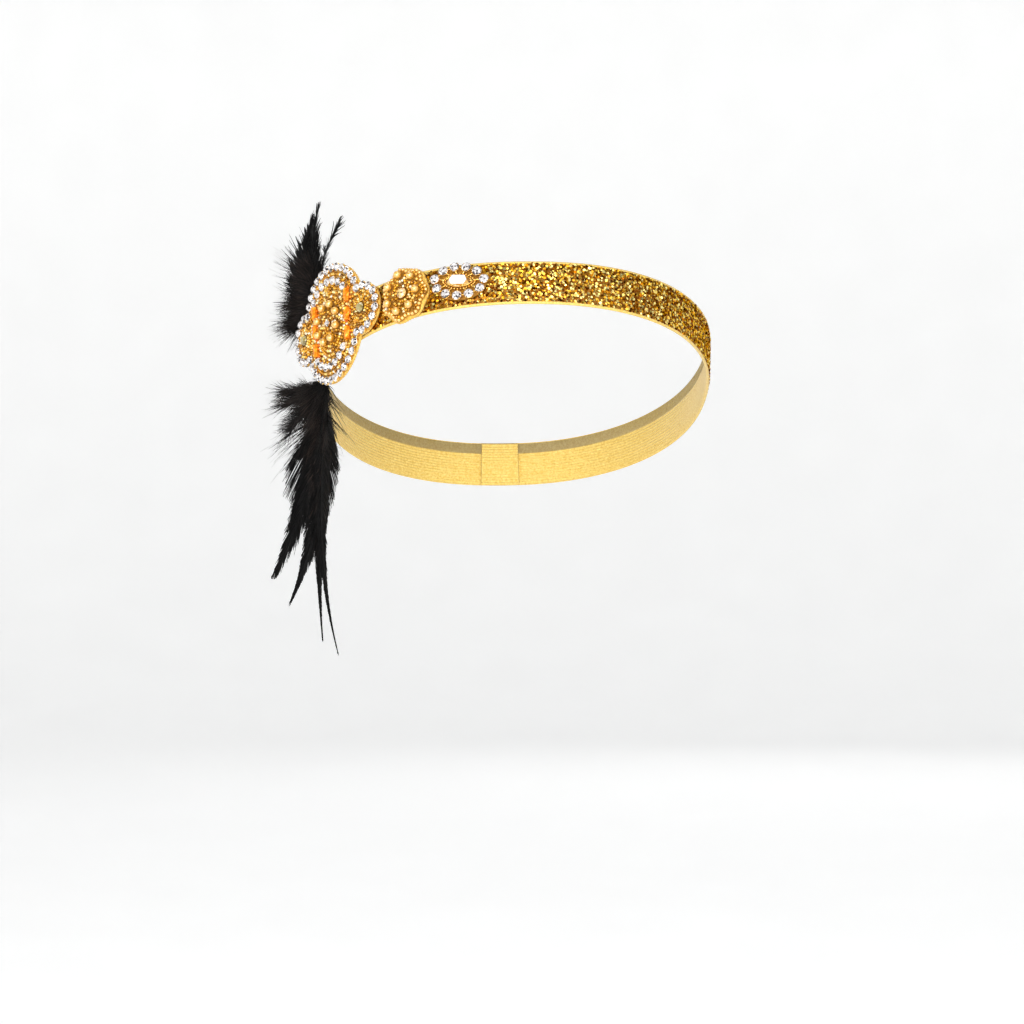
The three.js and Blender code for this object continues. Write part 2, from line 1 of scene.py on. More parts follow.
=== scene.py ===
import math
from collections import namedtuple

import bpy
import numpy as np
from mathutils import Matrix, Vector


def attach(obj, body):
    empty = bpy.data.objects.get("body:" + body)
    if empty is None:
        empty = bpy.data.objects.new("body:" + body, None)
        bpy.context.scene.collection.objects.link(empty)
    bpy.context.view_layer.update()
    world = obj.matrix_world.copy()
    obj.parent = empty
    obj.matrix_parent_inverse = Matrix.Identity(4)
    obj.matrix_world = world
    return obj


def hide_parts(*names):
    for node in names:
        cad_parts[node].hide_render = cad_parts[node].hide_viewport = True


# The looks of a flapper headband: glitter elastic, three beaded motifs and two feather plumes.
# Lengths are in millimetres until a mesh is made, and in metres after that. Along the band,
# "along" is the arc from the middle of the forehead, negative towards the wearer's right,
# "across" runs up the band's width and "out" leaves its outer face. On a motif the first two
# are "long" and "tall", counted from its middle and turned with it.

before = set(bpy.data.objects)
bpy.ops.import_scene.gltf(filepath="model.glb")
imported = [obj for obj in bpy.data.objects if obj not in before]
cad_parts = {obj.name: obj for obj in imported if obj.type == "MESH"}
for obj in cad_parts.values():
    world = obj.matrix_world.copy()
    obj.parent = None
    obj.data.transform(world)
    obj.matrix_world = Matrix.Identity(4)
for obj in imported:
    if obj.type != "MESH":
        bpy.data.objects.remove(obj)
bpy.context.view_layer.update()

metres = 0.001

# The loop
loop_half_width = 86
loop_front = 96
loop_back = 104
loop_squareness = 2.2
loop_tilt = 19.8
side_lean = -2.6
front_lean = 26.4

# The elastic band
band_width = 20
elastic_thick = 1.0
glitter_thick = 0.4
selvedge = 1.0
selvedge_rim = 0.1
elastic_bevel = 0.35
band_stations = 617
lap_length = 18
lap_stations = 24
lap_stitch = 1.6
lap_stitch_share = 0.42
lap_seam_inset = 2
flake_size = 1.1
flake_spacing = 0.78
flake_tilt = 44
flake_sizes = (0.7, 1.25)
flake_levels = (-0.22, -0.02)
flake_margin = 0.2
# The spread of flake tints: partly each flake's own tone, partly painted glint and shade
flake_tone_and_glint_spread = (0.7, 0.6)

# What every motif shares
gap = 0.3
felt_thick = 1.2
bead_pad_thick = 1.5
stone_height = 2.1
pearl_size = 3.3
motif_gap = 0.5
felt_base = gap
felt_top = felt_base + felt_thick
seat_base = felt_top + gap
field_top = seat_base + bead_pad_thick * 1.05 + gap
recess_floor = 0.6
recess_seat = seat_base + recess_floor * bead_pad_thick + gap
stone_swell = 1.1
stone_fill = 0.97
stone_table = 0.6
stone_foot = 0.8
claw_reach = 0.95
claw_size = 0.085
plate_inset = 1.2
small_pearl = 1.6
seed_size = 1.5
small_seed_size = 1.4
seed_bore = 0.14
seed_half_long = 0.41
bead_step = 0.84
bead_overlap = 0.2
fill_tries = 9
bead_spin = 0.25
plain_tints = (0.12, 0.8)
bright_tints = (0.8, 1.0)
bright_share = 0.2
orange_tints = (0, 0.08)
orange_share = 0.85
thread_thick = 0.22
stitch_length = 1.5
stitch_pitch = 1.3
stitch_inset = 0.42
prong_lean = 0.75
felt_fill = (0.45, 0.75)
felt_bends = (-90, -55, -20, 20, 55, 90)
felt_softness = 0.6

# The large motif
large_along = -99.3
large_across = 3.2
large_turn = -3.7
large_arc = 20.9
large_arc_shift = 3.6
lobe_arc = 10
lobe_reach = 32.3
outer_stone = 3.6
outer_pitch = 4.05
inner_steps = {1: 5.3, -1: 6.3}
inner_shift = -1.8
inner_stones = 7
inner_spread = 100
large_felt_edge = 0.5
lift_start = -81.5
lift_radius = 160
lift_reach = 60
front_lift_share = 0.4
field_half_long = 11.4
field_half_tall = 14.5
large_pearls = 8
large_pearl_ring = 8.15
field_rings = (0.95, 0.815)
field_fill = 0.76
crystal_size = 3.0
crystal_height = 1.65
# How bright the crystal's painted facet reflections are
crystal_shine = 0.9
crystal_ring = (2.4, 2.4)
bugle_length = 5.6
bugle_size = 2.2
bugle_along = 13.4
bugle_rows = 3
bugle_third = 1.8
bugle_swell = 1.25
bugle_twist = 0.35
bugle_bore = 0.2
bugle_bevel = 0.2
bugle_end = 0.86
bugle_lean = 0.06
orange_reach = 2.0
rosette_size = 12.4
rosette_shift = 1.2
rosette_steps = (0.75, 2.1, -0.45)
rosette_rises = (0.95, 0.85, 0.45)
smoky_stone = 4.4
smoky_height = 1.85
front_and_rear = (("front", 1), ("rear", -1))

# The flower
flower_reach = 11.4
flower_half_tall = 12.4
flower_across = 0.3
flower_petals = 7
petal_depth = 0.15
felt_petal_depth = 0.05
flower_ring_long = 6.8
flower_ring_tall = 8.3
flower_turn = -3
flower_stone = 4.6
flower_stone_height = 2.3
# How bright the flower stone's painted facet reflections are
flower_shine = 0.6
flower_felt_edge = 0.3
flower_fill = 0.95
petal_ring = (pearl_size / 2 + 0.72, pearl_size / 2 + 0.72)
centre_ring = (3.3, 3.3)

# The leaf
leaf_half_long = 11.8
leaf_half_tall = 6.6
leaf_across = 0.9
leaf_turn = -9
leaf_stone = 3.9
leaf_stones = 11
leaf_first = 16
leaf_felt_edge = 0.7
leaf_point = 1.2
navette_length = 12
navette_width = 5.8
navette_point = 1.35
navette_wall = 1.15
navette_crown = 0.95
milgrain = 0.95
milgrain_reach = (1.1, 1.2)
navette_claw = (0.75, 0.42, 0.35)
navette_claw_rise = 0.28
navette_claw_lean = 0.5
link_thick = 0.5
link_reach = 0.72

# A pressed cup's section, as (share of its radius, share of its height)
cup_profile = [
    (0, 0), (0.72, 0), (0.9, 0.3), (0.98, 0.8), (1, 1), (0.96, 1.08), (0.88, 1), (0.792, 0.5), (0, 0.45),
]

# A clear stone's facet tints are painted reflections, from least to most: its table has a dark and a
# dim sector among bright ones. Shares of its stars, kites and girdle facets are dark too, and the others
# light
table_reflection_tints = (0.6, 1.0)
table_dark_reflection = (0.0, 0.15)
table_dim_reflection = (0.1, 0.35)
dark_reflection_shares = (0.35, 0.35, 0.5)
dark_reflection_tints = (0.0, 0.3)
light_reflection_tints = (0.45, 1.0)

# A smoky stone's painted facet reflections, from least to most, and the number of its facets, from its
# table outwards
smoky_reflections = [(0.45, 0.7, 8), (0.3, 0.8, 8), (0.2, 0.9, 8), (0.1, 0.7, 16)]

# A mound's rings and one with a recess for a stone, as (share of its size, share of the pad's height)
pad_rings = [(1.0, 0.0), (1.0, 0.2), (0.94, 0.45), (0.82, 0.62), (0.5, 0.72), (0.1, 0.75)]
recessed_rings = [(1.0, 0.0), (1.0, 0.2), (0.92, 0.5), (0.8, 0.66), (0.5, 0.66), (0.42, 0.4)]

# How high a mound's beads sit, as (share of its size, share of the pad's height)
bead_heights = [(0.0, 0.95), (0.5, 0.92), (0.82, 0.8), (0.94, 0.6), (1.0, 0.35)]

# The navette setting's rings, as (share of its outline, height over the seat, or over the wall's top)
navette_foot = [(0.9, 0), (0.97, 0.15)]
navette_rim = [(1.0, -0.2), (0.99, 0), (0.95, 0.08), (0.9, 0), (0.88, -0.3)]
navette_floor = 0.84

# The navette's claws and its stone's table, as shares of its length and width
navette_claws = [(0.5, 0), (-0.5, 0), (0.2, 0.42), (-0.2, 0.42), (0.2, -0.42), (-0.2, -0.42)]
navette_table = [(0.3, 0.0), (0.21, 0.35), (-0.21, 0.35), (-0.3, 0.0), (-0.21, -0.35), (0.21, -0.35)]

# The plumes
upper_reach = 60
lower_reach = 130
upper_root = 13
lower_root = -18
plume_back = 12.7
plume_head_long = 12
plume_head_wide = 7
plume_head_thick = 2
plume_head_sag = 0.3
plume_level = felt_base - gap - plume_head_sag - plume_head_thick / 2
lead_dip = 3.2
tuft_strands = 12
feather_face = (-1, 0.15, 0)
roll_span = (0.16, 0.45)

# A lock's row: its tip out, back and up from the head, its lead backwards and across, its width,
# its bulge, its roll in degrees and how fast it narrows to its tip. The lead is in shares of the
# head's length, the lengths before and after it in shares of the plume's reach
upper_locks = [
    [0.1, 0.55, 0.5, 1.08, 0.92, 0.367, 0.08, 55, 0.9],
    [0.03, 0.8, 0.78, 1.08, 1, 0.217, 0.08, 40, 0.75],
    [0.08, 0.76, 0.7, 1.17, 1, 0.2, 0.08, 70, 0.85],
    [0.12, 0.69, 0.58, 1.25, 0.92, 0.2, 0.07, 30, 0.7],
    [0.17, 0.59, 0.45, 1.42, 0.83, 0.183, 0.06, 60, 0.8],
    [0.23, 0.5, 0.32, 1.58, 0.67, 0.167, 0.03, 40, 0.8],
    [0.24, 0.43, 0.22, 1.67, 0.5, 0.15, 0.01, 60, 0.8],
    [-0.13, 0.92, 0.7, 1, 1.08, 0.17, 0.06, 20, 0.7],
    [0.24, 0.4, -0.06, 2, 0.08, 0.117, 0, 40, 1],
    [0.21, 0.36, -0.14, 2, -0.08, 0.117, 0, 20, 1],
    [0.23, 0.42, 0.08, 1.83, 0.3, 0.14, 0, 50, 1],
    [0.2, 0.46, 0.16, 1.75, 0.4, 0.14, 0.02, 50, 1],
]
lower_locks = [
    [0.07, 0.34, -0.5, 0.92, -0.75, 0.2, 0.03, 60, 1.1],
    [0.18, 0.4, -0.66, 1, -0.75, 0.115, -0.06, 60, 0.7],
    [0.13, 0.35, -0.76, 0.92, -0.83, 0.115, -0.09, 75, 1],
    [0.02, 0.3, -0.9, 0.83, -0.92, 0.09, 0.04, 60, 1.4],
    [-0.035, 0.27, -0.95, 0.75, -0.92, 0.08, 0.09, 50, 1.5],
    [0.18, 0.31, -0.04, 1.5, -0.33, 0.077, 0.01, 30, 1],
    [0.165, 0.35, -0.1, 1.42, -0.42, 0.085, 0.02, 40, 1],
    [0.145, 0.38, -0.22, 1.25, -0.58, 0.1, 0.03, 50, 1],
    [-0.03, 0.38, -0.32, 0.92, -0.83, 0.108, 0.04, 40, 1],
]

# How a plume is dressed: how many of its locks are sleek feathers, the pitch of their barbs and how
# loose these are, and the strands of down for each millimetre of a sleek lock and of a downy one
PlumeLook = namedtuple("PlumeLook", "vaned pitch loose wild fluffy")
upper_look = PlumeLook(vaned=8, pitch=0.45, loose=2.2, wild=9, fluffy=22)
lower_look = PlumeLook(vaned=5, pitch=0.4, loose=1.0, wild=3.2, fluffy=14)

# A feather's outline as (share of its length, share of its half width), and the angle of its barbs
vane_edge = [(0.12, 0.55), (0.3, 1.0), (0.5, 0.95), (0.68, 0.62), (0.84, 0.3), (1.0, 0.07)]
barb_angles = [(0.12, 40), (0.5, 27), (1.0, 12)]
barb_least_angle = 8
vane_span = (0.12, 0.985)
split_pitch = 9

# Half the width of a quill, a barb and a strand of down, at its root and at its tip
quill_half_wide = (0.45, 0.1)
barb_half_wide = (0.34, 0.1)
down_half_wide = (0.19, 0.04)

# How far along a lock its down stands, as a share, and how far it leans out, in degrees
sleek_down = (0.55, 34)
full_down = (0.85, 38)
least_down_width = 12
down_scatter = (0.6, 0.8, 0.5)
down_lean = (-0.75, 0.3, 0)
down_fall = (0, 0, -0.12)

# The camera, fitted to the band's edges in the photo
camera_back = 1370
camera_side = -0.75
camera_height = -60
camera_yaw = 3.8
camera_roll = 0.4
camera_lens = 109.06
camera_sensor = 36

# The stage
floor_height = -330
stage_radius = 3200
stage_wall = 1500
stage_cove = 900
stage_glow = 0.27
world_strength = 0.28

# A lamp's row: its name, its place in metres, its width and its power in watts
lamps = [
    ["key", (-0.35, -1.75, 0.2), 1.0, 19],
    ["sky", (0.15, -1.15, 1.45), 0.9, 7],
    ["side", (-1.7, -0.9, 0.5), 0.6, 4],
    ["fill", (1.25, -1.05, 1.1), 0.9, 4.5],
    ["top", (-0.3, 0.5, 1.9), 1.0, 6],
    ["back", (0.5, 1.9, 0.6), 1.0, 3],
]

random = np.random.default_rng(1925)


# Small vector help

def unit(vectors):
    return vectors / np.linalg.norm(vectors, axis=-1, keepdims=True)


def square_to(vectors, axes):
    """The unit vectors square to unit axes that lie nearest to the given ones."""
    return unit(vectors - np.sum(vectors * axes, -1, keepdims=True) * axes)


def blend(a, b, share):
    return a + (b - a) * share


def smooth_step(value, low, high):
    t = np.clip((value - low) / (high - low), 0, 1)
    return t * t * (3 - 2 * t)


def turned_about(vectors, axes, angles):
    """Vectors turned about unit axes by angles in radians."""
    c, s = np.cos(angles)[..., None], np.sin(angles)[..., None]
    along = np.sum(vectors * axes, -1, keepdims=True) * axes
    return vectors * c + np.cross(axes, vectors) * s + along * (1 - c)


def on_circle(count, start=0.0):
    return (np.arange(count) + start) / count * 2 * math.pi


def oval(half, angles, middle=(0, 0)):
    """A point of an oval, or its points at many angles."""
    return np.stack([middle[0] + half[0] * np.cos(angles), middle[1] + half[1] * np.sin(angles)], -1)


def arc_lengths(points):
    """The length run from a line's first point to each of its points."""
    return np.concatenate([[0], np.cumsum(np.linalg.norm(np.diff(points, axis=0), axis=1))])


def from_table(table, value):
    """A value read from a table of pairs, in between its rows too."""
    return np.interp(value, *zip(*table))


# The line that a motif is laid on: its points and directions by arc length

Directions = namedtuple("Directions", "point forward across out")


class Line:
    def __init__(self, arcs, directions, period=None):
        self.arcs = arcs
        self.directions = directions
        self.period = period

    def at(self, along):
        along = np.asarray(along, float)

        def column(values, i):
            return np.interp(along, self.arcs, values[:, i], period=self.period)

        parts = [np.stack([column(v, i) for i in range(3)], -1) for v in self.directions]
        return Directions(parts[0], *[unit(part) for part in parts[1:]])


def loop_point(turn):
    """A point of the loop at a turn from the forehead: a rounded oval, tilted down at the back."""
    side, ahead = np.sin(turn), np.cos(turn)
    power = loop_squareness
    reach = (np.abs(side) ** power + np.abs(ahead) ** power) ** (-1 / power)
    y = -np.where(ahead > 0, loop_front, loop_back) * ahead * reach
    z = -math.tan(math.radians(loop_tilt)) * y
    return np.stack([loop_half_width * side * reach, y, z], -1)


def band_line(steps=5760, nudge=1e-3):
    """The middle of the band's outer face. The face leans back at the forehead."""
    turn = np.linspace(-math.pi, math.pi, steps + 1)
    point = loop_point(turn)
    forward = unit(loop_point(turn + nudge) - loop_point(turn - nudge))
    depth = np.where(np.cos(turn) > 0, loop_front, loop_back)

    def slope(reach, size):
        return np.sign(reach) * np.abs(reach / size) ** (loop_squareness - 1) / size

    facing = np.arctan2(slope(point[:, 0], loop_half_width), -slope(point[:, 1], depth))
    front_share = np.clip(np.cos(turn), 0, 1) ** 2
    lean = np.radians(side_lean + (front_lean - side_lean) * front_share)
    out = np.stack([np.sin(facing) * np.cos(lean), -np.cos(facing) * np.cos(lean), np.sin(lean)], -1)
    out = square_to(out, forward)
    across = unit(np.cross(forward, out))
    across = across * np.sign(across[:, 2:])
    arcs = arc_lengths(point)
    length = arcs[-1]
    arcs = arcs - arcs[steps // 2]
    return Line(arcs[:-1], Directions(*[v[:-1] for v in (point, forward, across, out)]), length)


def lifted_line(band, step=0.5):
    """The stiff large motif leaves the band's curve towards the back of the head."""
    along = np.arange(lift_start - lift_reach, lift_start + lift_reach + step / 2, step)
    base = band.at(along)
    away = along - lift_start
    lift = away ** 2 / (2 * lift_radius) * np.where(away > 0, front_lift_share, 1)
    point = base.point + base.out * lift[:, None]
    arcs = arc_lengths(point)
    arcs = arcs - arcs[round(lift_reach / step)] + lift_start
    forward = unit(np.gradient(point, axis=0))
    out = unit(np.cross(base.across, forward))
    out = out * np.sign(np.sum(out * base.out, -1, keepdims=True))
    return Line(arcs, Directions(point, forward, base.across, out))


class Motif:
    """A motif's own plane, laid on a line at a place along and across it and turned about that."""

    def __init__(self, line, along, across, turn):
        self.line = line
        self.along = along
        self.across = across
        self.turn = math.radians(turn)

    def place(self, long, tall):
        c, s = math.cos(self.turn), math.sin(self.turn)
        return self.along + long * c - tall * s, self.across + long * s + tall * c

    def spot(self, long, tall, out=0.0):
        long, tall, out = np.broadcast_arrays(*[np.asarray(v, float) for v in (long, tall, out)])
        along, across = self.place(long, tall)
        at = self.line.at(along)
        return at.point + at.across * across[..., None] + at.out * out[..., None]

    def stand(self, long, tall, out=0.0, spin=0.0):
        """Matrices that stand a piece, made round +Z, on the motif at these spots."""
        long, tall, out, spin = np.broadcast_arrays(
            *[np.atleast_1d(np.asarray(v, float)) for v in (long, tall, out, spin)])
        at = self.line.at(self.place(long, tall)[0])
        angle = (spin + self.turn)[..., None]
        side = square_to(at.forward * np.cos(angle) + at.across * np.sin(angle), at.out)
        places = np.zeros(long.shape + (4, 4))
        places[..., :3, 0] = side
        places[..., :3, 1] = np.cross(at.out, side)
        places[..., :3, 2] = at.out
        places[..., :3, 3] = self.spot(long, tall, out)
        places[..., 3, 3] = 1
        return places


band = band_line()
lifted = lifted_line(band)
large_reach = lobe_reach + outer_stone / 2 + large_felt_edge
flower_along = large_along + large_reach + motif_gap + flower_reach
leaf_along = flower_along + flower_reach + motif_gap + leaf_half_long + leaf_felt_edge
on_band = Motif(band, 0, 0, 0)
large = Motif(lifted, large_along, large_across, large_turn)
flower = Motif(band, flower_along, flower_across, flower_turn)
leaf = Motif(band, leaf_along, leaf_across, leaf_turn)
lobe_middle = lobe_reach - lobe_arc
rosette_middle = lobe_middle + rosette_shift
large_plate_margin = outer_stone / 2 + large_felt_edge - plate_inset


# Shapes: points, the loops and sizes of their faces, and for each face a tint, a material number
# and whether it is smooth

Shape = namedtuple("Shape", "points loops sizes tints kinds smooth")


def shape_of(points, faces, tints=0.0, kinds=0, smooth=True):
    count = len(faces)
    return Shape(
        points=np.array(points, float).reshape(-1, 3),
        loops=np.array([i for face in faces for i in face]),
        sizes=np.array([len(face) for face in faces]),
        tints=np.broadcast_to(np.asarray(tints, float), count),
        kinds=np.broadcast_to(np.asarray(kinds, int), count),
        smooth=np.broadcast_to(np.asarray(smooth, bool), count))


def volume_of(points, faces):
    points = np.array(points, float)
    total = 0.0
    for face in faces:
        for i in range(1, len(face) - 1):
            total += np.dot(points[face[0]], np.cross(points[face[i]], points[face[i + 1]]))
    return total


def closed(points, faces, **looks):
    """A shape whose faces point out."""
    if volume_of(points, faces) < 0:
        faces = [tuple(reversed(face)) for face in faces]
    return shape_of(points, faces, **looks)


def moved(shape, matrix):
    matrix = np.array(matrix)
    return shape._replace(points=shape.points @ matrix[:3, :3].T + matrix[:3, 3])


def of_kind(shape, kind):
    return shape._replace(kinds=np.full(len(shape.sizes), kind))


def x_up(shape):
    """The shape with its Z axis laid along X."""
    return shape._replace(points=shape.points[:, [2, 0, 1]])


def joined(shapes):
    start = np.cumsum([0] + [len(s.points) for s in shapes])
    columns = [np.concatenate(column) for column in zip(*shapes)]
    loops = np.concatenate([s.loops + n for s, n in zip(shapes, start)])
    return Shape(*columns)._replace(loops=loops)


def copied(shape, places, tints=0.0):
    """Copies of a shape at many places, as one; a tint is added to each copy's own."""
    places = np.asarray(places).reshape(-1, 4, 4)
    count = len(places)
    points = np.einsum("kij,nj->kni", places[:, :3, :3], shape.points) + places[:, None, :3, 3]
    starts = np.arange(count)[:, None] * len(shape.points)
    shades = shape.tints[None] + np.broadcast_to(np.asarray(tints, float), count)[:, None]
    return Shape(
        points=points.reshape(-1, 3),
        loops=(shape.loops[None] + starts).ravel(),
        sizes=np.tile(shape.sizes, count),
        tints=shades.ravel(),
        kinds=np.tile(shape.kinds, count),
        smooth=np.tile(shape.smooth, count))


def loft(sections, ring=False, **looks):
    """Sections with equal numbers of points, joined in a ring or closed by their two end sections."""
    sections = np.asarray(sections, float)
    rows, count = sections.shape[:2]
    faces = []
    for i in range(rows if ring else rows - 1):
        near, far = i * count, (i + 1) % rows * count
        for k in range(count):
            n = (k + 1) % count
            faces.append((near + k, near + n, far + n, far + k))
    if not ring:
        faces.append(tuple(reversed(range(count))))
        faces.append(tuple((rows - 1) * count + k for k in range(count)))
    return closed(sections.reshape(-1, 3), faces, **looks)


def lathe(profile, sides, start=0.0, **looks):
    """A shape turned about Z from pairs of radius and height; a profile that doesn't start and
    end on the axis closes on itself."""
    angles = on_circle(sides, start)
    points, rings = [], []
    for radius, height in profile:
        rings.append([len(points) + k for k in range(1 if radius == 0 else sides)])
        points += [(radius * math.cos(a), radius * math.sin(a), height) for a in angles[:len(rings[-1])]]
    pairs = list(zip(rings, rings[1:]))
    if profile[0][0] > 0:
        pairs.append((rings[-1], rings[0]))
    faces = []
    for low, high in pairs:
        for k in range(sides):
            n = (k + 1) % sides
            if len(low) == 1:
                faces.append((low[0], high[n], high[k]))
            elif len(high) == 1:
                faces.append((low[k], low[n], high[0]))
            else:
                faces.append((low[k], low[n], high[n], high[k]))
    return closed(points, faces, **looks)


def ball(half_x, half_y, half_z, sides=8, rows=4, **looks):
    rings = [(math.sin(a), -math.cos(a)) for a in np.linspace(0, math.pi, rows + 1)]
    rings[0], rings[-1] = (0, -1), (0, 1)
    shape = lathe(rings, sides, **looks)
    return shape._replace(points=shape.points * [half_x, half_y, half_z])


def added(name, data):
    made = bpy.data.objects.new(name, data)
    bpy.context.scene.collection.objects.link(made)
    return made


def object_of(name, shape, materials, maps=None):
    mesh = bpy.data.meshes.new(name)
    mesh.vertices.add(len(shape.points))
    mesh.vertices.foreach_set("co", (shape.points * metres).astype(np.float32).ravel())
    mesh.loops.add(len(shape.loops))
    mesh.loops.foreach_set("vertex_index", shape.loops.astype(np.int32))
    mesh.polygons.add(len(shape.sizes))
    starts = np.cumsum(shape.sizes) - shape.sizes
    mesh.polygons.foreach_set("loop_start", starts.astype(np.int32))
    mesh.polygons.foreach_set("material_index", shape.kinds.astype(np.int32))
    mesh.polygons.foreach_set("use_smooth", shape.smooth)
    tint = mesh.attributes.new("tint", "FLOAT", "FACE")
    tint.data.foreach_set("value", shape.tints.astype(np.float32))
    mesh.update(calc_edges=True)
    mesh.validate()
    if maps is not None:
        layer = mesh.uv_layers.new(name="lie")
        layer.data.foreach_set("uv", maps[shape.loops].astype(np.float32).ravel())
    for material in materials:
        mesh.materials.append(material)
    return added(name, mesh)


def piece(name, shapes, look_names, replaces=(), maps=None):
    """One piece of the model from its shapes, tied to the frame."""
    made = object_of(name, joined(shapes), [looks[look] for look in look_names], maps)
    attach(made, "root")
    if replaces:
        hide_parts(*replaces)


# Materials

def colour(code):
    """A colour written as in a paint chart, as the light that it stands for."""
    parts = [int(code[i:i + 2], 16) / 255 for i in (1, 3, 5)]
    linear = [p / 12.92 if p <= 0.04045 else ((p + 0.055) / 1.055) ** 2.4 for p in parts]
    return (*linear, 1.0)


class Look:
    """A material on the Principled shader, with the few kinds of detail that the pieces share."""

    def __init__(self, name, base, **values):
        self.material = bpy.data.materials.new(name)
        self.material.use_nodes = True
        self.tree = self.material.node_tree
        self.shader = self.tree.nodes["Principled BSDF"]
        self.set("Base Color", colour(base))
        for key, value in values.items():
            self.set(key.replace("_", " ").title().replace("Ior", "IOR"), value)

    def set(self, socket, value):
        self.shader.inputs[socket].default_value = value

    def node(self, kind, **settings):
        made = self.tree.nodes.new(kind)
        for key, value in settings.items():
            if key in made.inputs:
                made.inputs[key].default_value = value
            else:
                setattr(made, key, value)
        return made

    def link(self, source, target):
        self.tree.links.new(source, target)

    def noise(self, size, detail):
        """Soft noise with spots of a size in millimetres."""
        made = self.node("ShaderNodeTexNoise", Scale=1 / (size * metres), Detail=detail)
        self.link(self.node("ShaderNodeTexCoord").outputs["Object"], made.inputs["Vector"])
        return made.outputs["Fac"]

    def coloured(self, source, stops):
        ramp = self.node("ShaderNodeValToRGB")
        bar = ramp.color_ramp.elements
        while len(bar) < len(stops):
            bar.new(1.0)
        for element, (at, code) in zip(bar, stops):
            element.position = at
            element.color = colour(code)
        self.link(source, ramp.inputs["Fac"])
        self.link(ramp.outputs["Color"], self.shader.inputs["Base Color"])
        return self

    def tinted(self, stops):
        """Colour by the tint that each face carries."""
        return self.coloured(self.node("ShaderNodeAttribute", attribute_name="tint").outputs["Fac"], stops)

    def mottled(self, low, high, size):
        """Colour by soft spots, from one colour to another."""
        return self.coloured(self.noise(size, 3.0), [(0.3, low), (0.7, high)])

    def roughened(self, size, low, high):
        span = self.node("ShaderNodeMapRange")
        for socket, value in (("From Min", 0.3), ("From Max", 0.7), ("To Min", low), ("To Max", high)):
            span.inputs[socket].default_value = value
        self.link(self.noise(size, 2.0), span.inputs["Value"])
        self.link(span.outputs["Result"], self.shader.inputs["Roughness"])
        return self

    def bumped(self, source, depth):
        """Relief of a depth in millimetres, on top of any relief made before."""
        bump = self.node("ShaderNodeBump", Distance=depth * metres, Strength=1.0)
        before = self.shader.inputs["Normal"].links
        if before:
            self.link(before[0].from_socket, bump.inputs["Normal"])
        self.link(source, bump.inputs["Height"])
        self.link(bump.outputs["Normal"], self.shader.inputs["Normal"])
        return self

    def grained(self, size, depth):
        return self.bumped(self.noise(size, 4.0), depth)


def woven_look():
    """Woven elastic: lengthwise ribs crossed by fine picks, from the map of along and across."""
    look = Look("woven_elastic", "#e9bd45", roughness=0.5, metallic=0.15, sheen_weight=0.3)
    look.mottled("#e0b548", "#f4d679", 0.9)
    lie = look.node("ShaderNodeUVMap", uv_map="lie").outputs["UV"]
    for direction, pitch, depth in (("X", 0.6, 0.06), ("Y", 1.25, 0.25)):
        wave = look.node("ShaderNodeTexWave", bands_direction=direction)
        wave.inputs["Scale"].default_value = math.pi / 10 / pitch
        look.link(lie, wave.inputs["Vector"])
        look.bumped(wave.outputs["Fac"], depth)
    return look


def ground_look():
    """The glue under the glitter."""
    look = Look("glitter_ground", "#8a5a10", metallic=0.5, roughness=0.45)
    look.coloured(look.noise(0.5, 3.0), [(0.35, "#542c04"), (0.6, "#b06f0c")])
    return look.grained(0.4, 0.1)


def flake_look():
    # Glitter flakes: each flake's tint, dark brown to pale yellow, is partly its own tone and partly
    # painted glint and shade.
    look = Look("glitter_flake", "#e0b030", metallic=1.0, roughness=0.26, specular_tint=colour("#ffd050"))
    return look.tinted([(0.0, "#562600"), (0.25, "#8f5204"), (0.5, "#e6a222"), (0.8, "#fcd45a"),
                        (1.0, "#fff09c")])


def felt_look():
    look = Look("gold_felt", "#f2bd3a", roughness=0.42, metallic=0.2, sheen_weight=0.3)
    return look.mottled("#d9a132", "#f9d468", 1.2).grained(0.18, 0.1)


def bed_look():
    """The cloth that beads are sewn on."""
    look = Look("bead_ground", "#9a6a10", roughness=0.6, metallic=0.2)
    return look.mottled("#7a4a08", "#ba8418", 0.8).grained(0.3, 0.1)


def thread_look():
    look = Look("gold_thread", "#e6b23c", roughness=0.4, metallic=0.4)
    return look.mottled("#c98f22", "#ffdd77", 0.5).grained(0.12, 0.05)


def gold_look():
    look = Look("gold_plate", "#f3c45c", metallic=1.0, roughness=0.22)
    return look.mottled("#e8a83c", "#ffdc86", 1.5).roughened(0.8, 0.14, 0.34)


def stone_look():
    """Clear stones over foil; each facet's tint is a painted reflection of bright and dark parts of a room.
    """
    look = Look("rhinestone", "#f4f2fa", metallic=0.2, roughness=0.06, coat_weight=1.0, coat_roughness=0.02)
    return look.tinted([(0.0, "#1f1b22"), (0.2, "#625650"), (0.4, "#a89e98"), (0.65, "#cdc8c8"),
                        (0.9, "#f5f3f2")])


def pale_look():
    # Champagne stones: each facet's tint is a painted reflection, from dark amber to white.
    look = Look("champagne_stone", "#fbf2dc", metallic=0.2, roughness=0.05, coat_weight=1.0,
                coat_roughness=0.02)
    return look.tinted([(0.0, "#5b3408"), (0.2, "#c98a22"), (0.45, "#f3d58c"), (0.7, "#fffaf0"),
                        (1.0, "#ffffff")])


def smoky_look():
    # Smoky stones: each facet's tint is a painted reflection, from dark olive to pale.
    look = Look("smoky_stone", "#8f8648", roughness=0.12, coat_weight=1.0, specular_ior_level=0.7)
    return look.tinted([(0.0, "#4b4018"), (0.4, "#8b7a35"), (0.75, "#b3a260"), (1.0, "#d9cd9c")])


